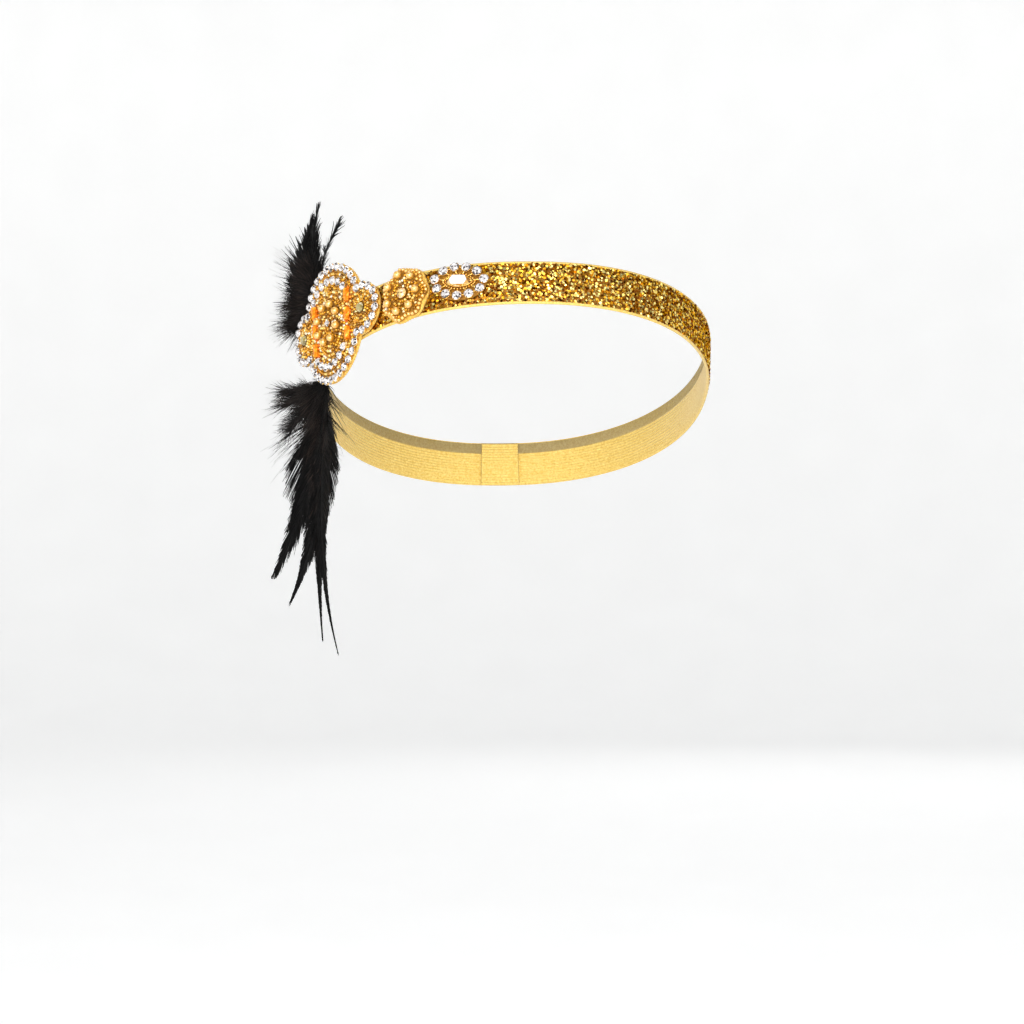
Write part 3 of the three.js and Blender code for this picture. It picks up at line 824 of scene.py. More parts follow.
def seed_look():
    """Gold glass beads; the lowest tints are the orange ones beside the bugles."""
    look = Look("seed_bead", "#f0b026", roughness=0.16, metallic=0.5, coat_weight=0.5,
                coat_roughness=0.05, coat_ior=1.7, specular_tint=colour("#ffe08a"))
    look.tinted([(0.0, "#ff7a00"), (0.08, "#ff8c08"), (0.12, "#7c4e04"), (0.35, "#c6840a"),
                 (0.65, "#f0b028"), (0.85, "#ffe184"), (1.0, "#fffae2")])
    return look.grained(0.5, 0.03)


def pearl_look():
    look = Look("gold_pearl", "#f0b444", roughness=0.34, metallic=0.5, coat_weight=1.0,
                coat_roughness=0.22, coat_ior=2.5, specular_tint=colour("#ffe9a8"))
    return look.mottled("#edaa28", "#fac64a", 2.2).grained(0.6, 0.02)


def bugle_look():
    look = Look("orange_bugle", "#ff8a1a", roughness=0.14, metallic=0.3, ior=1.5, coat_weight=0.25,
                specular_tint=colour("#ffb060"))
    return look.mottled("#f27806", "#ffab30", 1.6)


def plume_look():
    # Black feather; its brown-grey higher tints are partly painted light shining through thin fibre tips.
    look = Look("black_feather", "#080707", roughness=0.5, specular_ior_level=0.14)
    return look.tinted([(0.0, "#050505"), (0.45, "#0c0b0b"), (0.75, "#231d1b"), (1.0, "#57483f")])


looks = {
    "weave": woven_look().material,
    "ground": ground_look().material,
    "flake": flake_look().material,
    "felt": felt_look().material,
    "bed": bed_look().material,
    "thread": thread_look().material,
    "gold": gold_look().material,
    "stone": stone_look().material,
    "pale": pale_look().material,
    "smoky": smoky_look().material,
    "seed": seed_look().material,
    "pearl": pearl_look().material,
    "bugle": bugle_look().material,
    "plume": plume_look().material,
}


# The band

def strip(along, section, ring=False):
    """A ribbon along the band through a section of (across, out) corners, and its map."""
    at = band.at(along)
    section = np.array(section, float)
    across, out = section.T
    points = (at.point[:, None] + at.across[:, None] * across[None, :, None]
              + at.out[:, None] * out[None, :, None])
    around = arc_lengths(section)
    maps = np.stack(np.broadcast_arrays(along[:, None], around[None]), -1).reshape(-1, 2)
    return loft(points, ring=ring), maps


def band_body():
    """The elastic, with rounded selvedges on both sides of the field that the glitter lies on."""
    half = band_width / 2
    field = half - selvedge
    top = -glitter_thick + selvedge_rim
    rim = top + selvedge_rim
    under = -glitter_thick - elastic_thick
    edge = [(half - elastic_bevel, under), (half, under + elastic_bevel), (half, top - selvedge_rim),
            (half - selvedge / 4, rim), (half - selvedge * 3 / 4, rim), (field, top - 0.08)]
    ground = [(field * share, top) for share in (1, 0.5, 0, -0.5, -1)]
    mirrored = [(-across, out) for across, out in reversed(edge)]
    section = edge + ground + mirrored + [(-half / 2, under), (0, under), (half / 2, under)]
    along = np.arange(band_stations) / band_stations * band.period - band.period / 2
    shape, maps = strip(along, section, ring=True)
    on_ground = [len(edge) <= k < len(edge) + len(ground) - 1 for k in range(len(section))]
    shape = shape._replace(kinds=np.tile(np.array(on_ground, int), band_stations))
    piece("band_elastic", [shape], ["weave", "ground"], ["elastic_band"], maps)


def band_flakes():
    """Hexagonal flakes, scattered close and each tilted its own way."""
    half = band_width / 2 - selvedge
    rows = round(2 * half / (flake_size * flake_spacing))
    columns = round(band.period / (flake_size * flake_spacing))
    long, tall = np.meshgrid(np.arange(columns), np.arange(rows))
    long = (long + tall % 2 / 2).ravel() / columns * band.period - band.period / 2
    tall = (tall.ravel() + 0.5) / rows * 2 * half - half
    count = len(long)
    long = long + random.uniform(-0.5, 0.5, count) * flake_size
    tall = tall + random.uniform(-0.5, 0.5, count) * flake_size
    tall = np.clip(tall, flake_margin - half, half - flake_margin)
    level = random.uniform(*flake_levels, count)
    places = on_band.stand(long, tall, level, random.uniform(0, 2 * math.pi, count))
    tilt = np.radians(random.normal(0, flake_tilt / 2, count))
    places[:, :3, 2] = turned_about(places[:, :3, 2], places[:, :3, 0], tilt)
    places[:, :3, 1] = turned_about(places[:, :3, 1], places[:, :3, 0], tilt)
    places[:, :3, :2] *= random.uniform(*flake_sizes, count)[:, None, None]
    corners = np.array([(math.cos(a), math.sin(a), 0) for a in on_circle(6)])
    flake = shape_of(corners * flake_size / 2, [range(6)], smooth=False)
    # Each flake's tint is partly its own tone and partly painted glint and shade.
    shape = copied(flake, places, random.beta(*flake_tone_and_glint_spread, count))
    piece("band_glitter", [shape], ["flake"])


def band_lap():
    """The lapped end under the band at the nape, and the two rows of stitches through it."""
    half = band_width / 2
    top = -glitter_thick - elastic_thick
    under = top - elastic_thick
    section = [(half, under + 0.25), (half, top - 0.05), (-half, top - 0.05), (-half, under + 0.25),
               (-half + 0.3, under), (half - 0.3, under)]
    back = band.period / 2
    along = np.linspace(back - lap_length / 2, back + lap_length / 2, lap_stations)
    shape, maps = strip(along, section)
    piece("band_lap", [shape], ["weave"], maps=maps)

    stitch = x_up(ball(thread_thick / 2, thread_thick / 2, lap_stitch * lap_stitch_share, 6, 4))
    count = int((band_width - 2) / lap_stitch)
    across = (np.arange(count) - (count - 1) / 2) * lap_stitch
    rows = []
    for side in (-1, 1):
        for out in (0.02, under):
            along = np.full(count, back + side * (lap_length / 2 - lap_seam_inset))
            rows.append(copied(stitch, on_band.stand(along, across, out, math.pi / 2 + 0.25)))
    piece("band_stitches", rows, ["thread"])


# Felt

def felt_plate(name, place, outline, node, look="felt"):
    """A felt plate with rounded edges from its outline, filled towards its middle."""
    middle = outline.mean(0)
    radius = felt_thick / 2
    reach = np.linalg.norm(outline - middle, axis=1, keepdims=True)
    rings = [(share, felt_base) for share in felt_fill]
    for angle in np.radians(felt_bends):
        inset = radius * (1 - math.cos(angle)) * felt_softness
        rings.append((1 - inset / reach, felt_base + radius * (1 + math.sin(angle))))
    rings += [(share, felt_top) for share in reversed(felt_fill)]
    sections = [place.spot(*(middle + (outline - middle) * share).T, level) for share, level in rings]
    piece(name, [loft(sections)], [look], [node])


def notch_angles():
    """Where a side lobe's arc meets the top arc, as a direction from each arc's middle."""
    apart = math.hypot(lobe_middle, large_arc_shift)
    run = (large_arc ** 2 - lobe_arc ** 2 + apart ** 2) / (2 * apart)
    rise = math.sqrt(large_arc ** 2 - run ** 2)
    ux, uy = lobe_middle / apart, -large_arc_shift / apart
    x, y = run * ux - rise * uy, large_arc_shift + run * uy + rise * ux
    return math.atan2(y - large_arc_shift, x), math.atan2(y, x - lobe_middle)


def large_arcs():
    """The large motif's four arcs: middle, radius and the two end angles."""
    on_arc, on_lobe = notch_angles()
    return [
        (lobe_middle, 0, lobe_arc, -on_lobe, on_lobe),
        (0, large_arc_shift, large_arc, on_arc, math.pi - on_arc),
        (-lobe_middle, 0, lobe_arc, math.pi - on_lobe, math.pi + on_lobe),
        (0, -large_arc_shift, large_arc, math.pi + on_arc, 2 * math.pi - on_arc),
    ]


def large_outline(margin, count=240):
    """The union of the motif's discs, as points round it."""
    points = []
    for angle in on_circle(count):
        ray = np.array([math.cos(angle), math.sin(angle)])
        reach = 0.0
        for x, y, radius, _, _ in large_arcs():
            along = ray @ (x, y)
            room = (radius + margin) ** 2 - (x * x + y * y - along ** 2)
            if room > 0:
                reach = max(reach, along + math.sqrt(room))
        points.append(ray * reach)
    return np.array(points)


def petal_share(depth, angle):
    """How far a flower's edge reaches, as a share of its longest reach."""
    return 1 - depth * (1 - np.cos(flower_petals * angle)) / 2


def flower_outline(count=196):
    angles = on_circle(count)
    share = petal_share(felt_petal_depth, angles)
    return oval((flower_reach * share, flower_half_tall * share), angles)


def leaf_outline(count=120):
    edge = leaf_felt_edge - plate_inset
    return oval((leaf_half_long + edge, leaf_half_tall + leaf_stone / 2 + edge), on_circle(count))


def edge_stitches():
    """Gold thread whipped over the felt's edges."""
    stitch = x_up(ball(thread_thick / 2, thread_thick, stitch_length / 2, 6, 6))
    rows = []
    for place, outline in ((large, large_outline(large_plate_margin, 720)), (flower, flower_outline(420))):
        line = np.vstack([outline, outline[:1]])
        arcs = arc_lengths(line)
        count = round(arcs[-1] / stitch_pitch)
        want = arcs[-1] * np.arange(count) / count
        long, tall = [np.interp(want, arcs, line[:, i]) for i in range(2)]
        spin = np.arctan2(tall, long) + random.normal(0, 0.15, count)
        inward = 1 - stitch_inset * stitch_length / np.hypot(long, tall)
        rows.append(copied(stitch, place.stand(long * inward, tall * inward, felt_top, spin)))
        places = place.stand(long, tall, felt_base + felt_thick / 2, spin)
        places[:, :3, [0, 2]] = places[:, :3, [2, 0]]
        places[:, :3, 1] *= -1
        rows.append(copied(stitch, places))
    piece("felt_stitches", rows, ["thread"])


# Stones

def brilliant(radius, girdle, height, table, foot, tints, mid=0.8):
    """A round brilliant's crown over a short wall: table, stars, kites and upper girdle facets.
    The tints, painted reflections, are for the table's sectors, the stars, the kites and the girdle facets."""
    mid_height = height - (mid * math.cos(math.pi / 8) - table) / (1 - table) * (height - girdle)
    points = [(0, 0, height)]
    for share, level, count, start in ((table, height, 8, 0), (mid, mid_height, 8, 0.5),
                                       (1, girdle, 16, 0), (foot, 0, 16, 0)):
        spots = oval((radius * share, radius * share), on_circle(count, start))
        points += [(*spot, level) for spot in spots]
    table_at, mid_at, girdle_at, foot_at = 1, 9, 17, 33
    faces, shades = [], []

    def facet(corners, part, k):
        faces.append(corners)
        shades.append(tints[part][k % len(tints[part])])

    for k in range(8):
        edge = [girdle_at + (2 * k + i) % 16 for i in range(3)]
        facet((0, table_at + k, table_at + (k + 1) % 8), 0, k)
        facet((table_at + k, mid_at + k, table_at + (k + 1) % 8), 1, k)
        facet((table_at + k, mid_at + (k - 1) % 8, edge[0], mid_at + k), 2, k)
        facet((mid_at + k, edge[0], edge[1]), 3, k)
        facet((mid_at + k, edge[1], edge[2]), 3, k + 1)
    for k in range(16):
        n = (k + 1) % 16
        facet((girdle_at + k, foot_at + k, foot_at + n, girdle_at + n), 3, 0)
    facet(tuple(foot_at + k for k in range(16)), 3, 0)
    return closed(points, faces, tints=shades, smooth=False)


def cup(radius, height):
    """A pressed metal cup with a rolled lip, open above."""
    return lathe([(radius * across, height * up) for across, up in cup_profile], 16)


def prongs(radius, height, size):
    """Four claws that fold over the stone's edge."""
    claw = ball(size * 1.1, size * 0.55, size * 0.5)
    made = []
    for angle in on_circle(4, 0.5):
        place = Matrix.Rotation(angle, 4, "Z") @ Matrix.Translation((radius, 0, height))
        made.append(moved(claw, place @ Matrix.Rotation(prong_lean, 4, "Y")))
    return made


def painted_sparkle():
    """Painted reflections on one stone's facets: tints for the bright, lilac and dark parts of a room that
    its foil throws back.
    """
    table = random.uniform(*table_reflection_tints, 8)
    first = random.integers(8)
    table[first] = random.uniform(*table_dark_reflection)
    table[(first + random.integers(2, 6)) % 8] = random.uniform(*table_dim_reflection)
    shades = [table]
    for share in dark_reflection_shares:
        dark = random.random(8) < share
        shades.append(np.where(dark, random.uniform(*dark_reflection_tints, 8), random.uniform(*light_reflection_tints, 8)))
    return shades


def set_stone(size, height, shine=1.0):
    """A stone in its cup with four claws: gold is material 0 and the stone is material 1."""
    radius, wall = size / 2, height / 2
    # The facets' tints are painted reflections; shine scales how bright they are.
    shades = [part * shine for part in painted_sparkle()]
    stone = brilliant(radius * stone_fill, wall * 0.6, height - wall / 2, stone_table, stone_foot, shades)
    stone = of_kind(moved(stone, Matrix.Translation((0, 0, wall / 2))), 1)
    claws = prongs(radius * claw_reach, wall * 1.12, size * claw_size)
    return joined([cup(radius, wall), stone] + claws)


def stone_chain(name, place, size, spots, node, ring=True):
    """Stones in cups with links between them; each is a little wider than its solid stands for."""
    shapes = []
    for long, tall, spin in spots:
        stone = set_stone(size * stone_swell, stone_height)
        shapes.append(copied(stone, place.stand(long, tall, seat_base, spin)))
    ends = np.roll(spots, -1, 0)
    for near, far in list(zip(spots, ends))[:None if ring else -1]:
        run = far[:2] - near[:2]
        link = x_up(ball(0.32, 0.4, np.hypot(*run) * 0.3, 6))
        long, tall = (near[:2] + far[:2]) / 2
        spin = math.atan2(run[1], run[0])
        shapes.append(copied(link, place.stand(long, tall, seat_base + link_thick, spin)))
    piece(name, shapes, ["gold", "stone"], [node])


def outer_row():
    """The places and turns of the outer row's stones, evenly spaced on each arc."""
    spots = []
    for long, tall, radius, start, end in large_arcs():
        count = round(radius * abs(end - start) / outer_pitch)
        for angle in start + (end - start) * np.arange(count) / count:
            spots.append((*oval((radius, radius), angle, (long, tall)), angle + math.pi / 2))
    return np.array(spots)


def inner_row(side):
    """The places and turns of an inner row's stones: side 1 is above the field and -1 below it."""
    arc = large_arc - inner_steps[side]
    half_spread = math.radians(inner_spread) / 2
    angles = side * (math.pi / 2 + np.linspace(-half_spread, half_spread, inner_stones))
    return np.column_stack([oval((arc, arc), angles, (inner_shift, side * large_arc_shift)),
                            angles + math.pi / 2])


def pointed(half, angles, point):
    """Points of an oval whose two ends are drawn out."""
    rise = np.sign(np.sin(angles)) * np.abs(np.sin(angles)) ** point
    return np.stack([half[0] * np.cos(angles), half[1] * rise], -1)


def leaf_spots():
    """The places and turns of the leaf's stones, evenly spaced."""
    half_long = leaf_half_long + leaf_felt_edge - leaf_stone / 2
    angles = math.radians(leaf_first) + np.linspace(0, 2 * math.pi, 721)
    points = pointed((half_long, leaf_half_tall), angles, leaf_point)
    arcs = arc_lengths(points)
    want = arcs[-1] * np.arange(leaf_stones) / leaf_stones
    long, tall, angle = [np.interp(want, arcs, values) for values in (*points.T, angles)]
    spin = np.arctan2(leaf_half_tall * np.cos(angle), -half_long * np.sin(angle))
    return np.stack([long, tall, spin], -1)


def navette_outline(share, count=32):
    return share * pointed((navette_length / 2, navette_width / 2), on_circle(count), navette_point)


def navette_cup():
    """The navette's setting: its wall, six claws, beads round it and links to the leaf's stones."""
    wall = seat_base + navette_wall
    rings = [(share, seat_base + rise) for share, rise in navette_foot]
    rings += [(share, wall + rise) for share, rise in navette_rim]
    rings.append((navette_floor, seat_base + link_thick))
    shapes = [loft([leaf.spot(*navette_outline(share).T, level) for share, level in rings])]

    claw = moved(ball(*navette_claw), Matrix.Rotation(navette_claw_lean, 4, "Y"))
    long, tall = (np.array(navette_claws) * [navette_length, navette_width]).T
    reach = np.where(tall == 0, 0.9, 0.92)
    places = leaf.stand(long * reach, tall * reach, wall + navette_claw_rise, np.arctan2(tall, long))
    shapes.append(copied(claw, places))

    long, tall = (navette_outline(1) * milgrain_reach).T
    bead = ball(milgrain / 2, milgrain / 2, milgrain / 2, 8, 6)
    shapes.append(copied(bead, leaf.stand(long, tall, seat_base + milgrain / 2)))

    long, tall = leaf_spots()[:, :2].T * link_reach
    link = x_up(ball(0.45, 0.5, 1.3, 8, 6))
    places = leaf.stand(long, tall, seat_base + link_thick, np.arctan2(tall, long))
    shapes.append(copied(link, places))
    piece("navette_cup", shapes, ["gold"], ["navette_setting"])


def navette_cut(sides=24):
    """The navette's stone: its girdle, crown facets and six-sided table."""
    wall = seat_base + navette_wall
    girdle = navette_outline(0.9, sides)
    table = np.array(navette_table) * [navette_length, navette_width]
    rows = [leaf.spot(*(girdle * 0.8).T, seat_base + link_thick + gap), leaf.spot(*girdle.T, wall),
            leaf.spot(*table.T, wall + gap + navette_crown)]
    top = 2 * sides
    faces = [tuple(range(sides)), tuple(range(top, top + len(table)))]
    faces += [(k, (k + 1) % sides, sides + (k + 1) % sides, sides + k) for k in range(sides)]
    # Each face's tint is a painted reflection: the table white, the foot and walls dim, the crown's facets
    # amber, darkest at the two ends.
    shades = [0.4, 1.0] + [0.3] * sides
    for k in range(sides):
        n = (k + 1) % sides
        near, far = round(k / 4) % 6, round((k + 1) / 4) % 6
        faces.append((sides + k, sides + n, top + near))
        shades.append(random.uniform(0.0, 0.2) if near % 3 == 0 else random.uniform(0.25, 0.5))
        if far != near:
            faces.append((sides + n, top + far, top + near))
            shades.append(random.uniform(0.15, 0.45))
    stone = closed(np.concatenate(rows), faces, tints=shades, smooth=False)
    piece("navette_cut", [stone], ["pale"], ["navette_stone"])


def crystal():
    """The stone that stands on the bead field."""
    stone = copied(set_stone(crystal_size, crystal_height, crystal_shine), large.stand(0, 0, field_top))
    piece("crystal", [stone], ["gold", "stone"], ["large_crystal"])


def flower_centre():
    stone = set_stone(flower_stone, flower_stone_height, flower_shine)
    stone = copied(stone, flower.stand(0, 0, recess_seat))
    piece("flower_centre", [stone], ["gold", "pale"], ["flower_stone"])


def smoky_stones():
    for name, side in front_and_rear:
        # Painted reflections on the facets, ring by ring
        shades = [random.uniform(low, high, count) for low, high, count in smoky_reflections]
        stone = brilliant(smoky_stone / 2, smoky_height * 0.4, smoky_height, 0.62, 0.75, shades)
        stone = copied(stone, large.stand(side * rosette_middle, 0, recess_seat))
        piece(f"smoky_{name}", [stone], ["smoky"], [f"smoky_stone_{name}"])


# Beads

def one_of(first, second, share):
    """The first value, or for a share of all draws the second."""
    return random.choice([first, second], p=[1 - share, share])


def seed_bead(size):
    """A seed bead with its hole along X."""
    bore, half = size * seed_bore, size * seed_half_long
    middle, thick = (size / 2 + bore) / 2, (size / 2 - bore) / 2
    return x_up(lathe(oval((thick, half), on_circle(6, 0.5), (middle, 0)), 10))


def pearl(size):
    """A pearl bead, dimpled at the two ends of its hole, which runs along X."""
    ends = [(0.0, 0.86), (0.1, 0.93)]
    profile = [(r, -z) for r, z in ends]
    profile += [(math.sin(a), -math.cos(a)) for a in np.linspace(0, math.pi, 17)[1:-1]]
    profile += reversed(ends)
    shape = lathe(profile, 24)
    return x_up(shape._replace(points=shape.points * size / 2))


class Beading:
    """Sewn seed beads on a motif: each is kept only where it is clear of those before it."""

    def __init__(self, place, size=seed_size, orange=()):
        self.place = place
        self.size = size
        self.orange = orange
        self.kept = np.zeros((0, 3))
        self.rows = []

    def bar(self, spots, radius):
        """Keeps beads off round pieces."""
        spots = np.reshape(spots, (-1, 2))
        self.kept = np.vstack([self.kept, np.column_stack([spots, np.full(len(spots), radius)])])

    def sew(self, long, tall, out, spin):
        room = np.hypot(self.kept[:, 0] - long, self.kept[:, 1] - tall) - self.kept[:, 2] - self.size / 2
        if len(room) and room.min() < -bead_overlap * self.size:
            return
        self.bar((long, tall), self.size / 2)
        shade = one_of(random.uniform(*plain_tints), random.uniform(*bright_tints), bright_share)
        if any(math.hypot(long - x, tall - y) < orange_reach for x, y in self.orange):
            shade = one_of(random.uniform(*orange_tints), shade, 1 - orange_share)
        self.rows.append((long, tall, out, spin + random.normal(0, bead_spin), shade))

    def ring(self, middle, half, out, start=0.0):
        """A ring of beads on an oval, as many as fit."""
        angles = np.linspace(0, 2 * math.pi, 361)
        arcs = arc_lengths(oval(half, angles, middle))
        count = int(arcs[-1] / (self.size * bead_step))
        for i in range(count):
            angle = np.interp((i + start) / count % 1 * arcs[-1], arcs, angles)
            spin = math.atan2(half[1] * math.cos(angle), -half[0] * math.sin(angle))
            self.sew(*oval(half, angle, middle), out, spin)

    def arc(self, middle, radius, start, end, out):
        count = int(radius * abs(end - start) / (self.size * bead_step))
        for i in range(count + 1):
            angle = start + (end - start) * i / count
            self.sew(*oval((radius, radius), angle, middle), out, angle + math.pi / 2)

    def fill(self, inside, reach, height):
        """Fills what is left inside an outline, a bead wherever one still fits."""
        for long, tall in random.uniform(-reach, reach, (round(fill_tries * reach * reach), 2)):
            if inside(long, tall):
                self.sew(long, tall, height(long, tall), random.uniform(0, math.pi))

    def build(self, name, mounds=(), replaces=()):
        rows = np.array(self.rows)
        beads = copied(seed_bead(self.size), self.place.stand(*rows[:, :4].T), rows[:, 4])
        grounds = [of_kind(mound, 1) for mound in mounds]
        piece(name, [beads] + grounds, ["seed", "bed"], replaces)


def oval_mound(place, middle, half, sides, rings, petals=0.0):
    """A low mound from rings of (share of its size, height as a share of the pad)."""
    angles = on_circle(sides)
    reach = petal_share(petals, angles)
    sections = []
    for share, rise in rings:
        long, tall = oval((half[0] * share * reach, half[1] * share * reach), angles, middle).T
        sections.append(place.spot(long, tall, seat_base + rise * bead_pad_thick))
    return loft(sections)


def pad_height(share):
    """How high beads sit on a mound, by their distance from its middle as a share of its size."""
    return seat_base + from_table(bead_heights, share) * bead_pad_thick


def numbered(stem, count):
    return [f"{stem}_{i + 1}" for i in range(count)]


def pearls_on(name, place, spots, out, node):
    places = place.stand(*spots.T, out, random.uniform(0, math.pi, len(spots)))
    piece(name, [copied(pearl(pearl_size), places)], ["pearl"], numbered(node, len(spots)))


def large_field():
    """The mound of beads in the middle, with its ring of pearls and room for the crystal."""
    ring = oval((large_pearl_ring, large_pearl_ring), on_circle(large_pearls, 0.5))
    pearls_on("large_pearls", large, ring, field_top + pearl_size / 2, "large_pearl")

    beading = Beading(large, orange=bugle_points())
    beading.bar((0, 0), crystal_size / 2)
    beading.bar(ring, pearl_size * 0.3)
    for share in field_rings:
        half = (field_half_long * share, field_half_tall * share)
        beading.ring((0, 0), half, pad_height(share), share * 3)
    beading.ring((0, 0), crystal_ring, pad_height(0.2))

    def share_at(long, tall):
        return math.hypot(long / field_half_long, tall / field_half_tall)

    beading.fill(lambda long, tall: share_at(long, tall) < field_fill, field_half_tall,
                 lambda long, tall: pad_height(share_at(long, tall)))
    mound = oval_mound(large, (0, 0), (field_half_long, field_half_tall), 48, pad_rings)
    beading.build("large_bead_field_beads", [mound], ["large_bead_field"])


def rosettes():
    """Three rings of small seed beads round each smoky stone."""
    half, recess = rosette_size / 2, smoky_stone / 2 + gap
    radii = np.array([recess, recess, half]) + rosette_steps
    for name, side in front_and_rear:
        middle = (side * rosette_middle, 0)
        beading = Beading(large, small_seed_size)
        for radius, rise in zip(radii, rosette_rises):
            beading.ring(middle, (radius, radius), seat_base + rise * bead_pad_thick, radius)
        mound = oval_mound(large, middle, (half, half), 40, recessed_rings)
        beading.build(f"rosette_{name}_beads", [mound], [f"rosette_{name}"])


def bugle_talls():
    """How high the bugles of a side stand, between the two inner rows of stones."""
    from_row = (outer_stone + bugle_length) / 2 + gap
    return np.linspace(inner_row(-1)[0, 1] + from_row, inner_row(1)[0, 1] - from_row, bugle_rows)


def bugle_points():
    """Spots along the bugles, by which beads keep off them or take their colour."""
    return [(side * bugle_along, tall + step)
            for side in (-1, 1) for tall in bugle_talls() for step in (-bugle_third, 0, bugle_third)]


def bugle():
    """A twisted hexagonal bugle bead, drilled through."""
    half, radius = bugle_length / 2, bugle_size * bugle_swell / 2
    end = [(bugle_size * bugle_bore, half), (radius * bugle_end, half), (radius, half - bugle_bevel),
           (radius, half / 3)]
    stations = [(r, -z) for r, z in end] + end[::-1]
    shape = lathe(stations, 6, random.random(), smooth=False)
    twist = shape.points[:, 2] / half * bugle_twist
    c, s = np.cos(twist), np.sin(twist)
    x, y, z = shape.points.T
    return x_up(shape._replace(points=np.stack([x * c - y * s, x * s + y * c, z], -1)))


def bugles():
    level = seat_base + bugle_size * bugle_swell / 2
    for name, side in reversed(front_and_rear):
        shapes = []
        for tall in bugle_talls():
            shape = bugle()
            spin = math.pi / 2 + random.normal(0, bugle_lean)
            shapes.append(copied(shape, large.stand(side * bugle_along, tall, level, spin)))
        piece(f"orange_bugles_{name}", shapes, ["bugle"],
              numbered(f"orange_bead_{name}", bugle_rows))


def large_filling():
    """Seed beads sewn between the stones, the field, the bugles and the rosettes."""
    beading = Beading(large, orange=bugle_points())
    for row in (outer_row(), inner_row(1), inner_row(-1)):
        beading.bar(row[:, :2], outer_stone / 2)
    beading.bar([(-rosette_middle, 0), (rosette_middle, 0)], rosette_size / 2)
    beading.bar(bugle_points(), bugle_size / 2)
    level = seat_base + seed_size * 0.45
    between = math.radians(inner_spread / 2 + 12)
    for side in (1, -1):
        upright = side * math.pi / 2
        beading.arc((inner_shift / 2, side * large_arc_shift), large_arc - inner_steps[side] / 2,
                    upright - between, upright + between, level)
    reach = np.hypot(*large_outline(-outer_stone / 2).T)
    directions = on_circle(len(reach))

    def inside(long, tall):
        if math.hypot(long / (field_half_long + 0.5), tall / (field_half_tall + 0.5)) < 1:
            return False
        edge = np.interp(math.atan2(tall, long), directions, reach, period=2 * math.pi)
        return math.hypot(long, tall) < edge

    beading.fill(inside, lobe_reach, lambda long, tall: level)
    beading.build("large_filling_beads")


def flower_beads():
    """The petals' mound of beads, edged with small pearls and with a large one in each petal."""
    half = (flower_reach - flower_felt_edge, flower_half_tall - flower_felt_edge)
    ring = oval((flower_ring_long, flower_ring_tall), on_circle(flower_petals))
    pearls_on("flower_pearls", flower, ring, seat_base + bead_pad_thick + gap + pearl_size / 2,
              "flower_pearl")

    beading = Beading(flower, small_seed_size)
    beading.bar((0, 0), flower_stone / 2)
    beading.bar(ring, pearl_size * 0.38)
    edge = []
    for angle in on_circle(240):
        spot = oval(half, angle) * flower_fill * petal_share(petal_depth, angle)
        if not edge or (math.dist(spot, edge[-1]) > small_pearl
                        and math.dist(spot, edge[0]) > small_pearl * 0.9):
            edge.append(spot)
    beading.bar(edge, small_pearl / 2)
    places = flower.stand(*np.transpose(edge), pad_height(flower_fill) + 0.1,
                          random.uniform(0, 3, len(edge)))
    piece("flower_edge_pearls", [copied(pearl(small_pearl), places)], ["pearl"])
    for spot in ring:
        beading.ring(spot, petal_ring, pad_height(0.7))
    beading.ring((0, 0), centre_ring, pad_height(0.3))

    def share_at(long, tall):
        long, tall = long / half[0], tall / half[1]
        return math.hypot(long, tall) / petal_share(petal_depth, math.atan2(tall, long))

    beading.fill(lambda long, tall: share_at(long, tall) < flower_fill, half[1],
                 lambda long, tall: pad_height(share_at(long, tall)))
    mound = oval_mound(flower, (0, 0), half, 84, recessed_rings, petal_depth)
    beading.build("flower_beads", [mound], ["flower_petals"])


# Feathers

def bezier(route, t):
    a, b, c, d = route
    s = 1 - t
    return (a * (s ** 3)[:, None] + b * (3 * s * s * t)[:, None]
            + c * (3 * s * t * t)[:, None] + d * (t ** 3)[:, None])


def fibres(paths, across, half_wide, half_thick, tints):
    """Thin closed strips of three sides along many paths, as one shape. Paths are (strips, places, 3)
    and the tints have one value for each strip and each stretch of it."""
    ahead = unit(np.gradient(paths, axis=1))
    side = square_to(across, ahead)
    up = np.cross(side, ahead)
    wide, thick = half_wide[..., None], half_thick[..., None]
    corners = np.stack([paths - side * wide, paths + side * wide, paths + up * thick], 2)
    shades = np.concatenate([np.repeat(tints, 3, axis=1), tints[:, :1], tints[:, -1:]], 1)
    strips = copied(loft(corners[0]), np.tile(np.eye(4), (len(paths), 1, 1)))
    return strips._replace(points=corners.reshape(-1, 3), tints=shades.ravel())


def curved(start, straight, bend, length, k):
    """Paths that leave their starts straight and bend more towards their tips."""
    reach = length[:, None] * k
    bent = length[:, None] * k ** 2
    return start[:, None] + straight[:, None] * reach[..., None] + bend[:, None] * bent[..., None]


def lock_lines(root_across, reach, row):
    """A lock's route, width and roll from its row, as the plume's solid has them."""
    out, back, up, lead_long, lead_across, width, bulge, roll, slim = row
    root = large.spot(-plume_back, root_across, plume_level)
    tip = root + np.array([-out, back, up]) * reach
    lead = large.spot(-plume_back - lead_long * plume_head_long,
                      root_across + lead_across * plume_head_long, plume_level - lead_dip)
    middle = (lead + tip) / 2 + np.array([-bulge * reach, 0, 0])
    return (root, lead, middle, tip), width * reach, math.radians(roll), slim


class FeatherLine:
    """A feather's middle line and its directions: ahead, to the side and out of its face."""

    def __init__(self, route, roll):
        self.t = np.linspace(0, 1, 121)
        line = bezier(route, self.t)
        ahead = unit(np.gradient(line, axis=0))
        out = square_to(np.broadcast_to(feather_face, line.shape), ahead)
        out = turned_about(out, ahead, roll * smooth_step(self.t, *roll_span))
        self.values = [line, ahead, unit(np.cross(ahead, out)), out]
        self.length = arc_lengths(line)[-1]

    def at(self, share):
        return [np.stack([np.interp(share, self.t, v[:, i]) for i in range(3)], -1) for v in self.values]


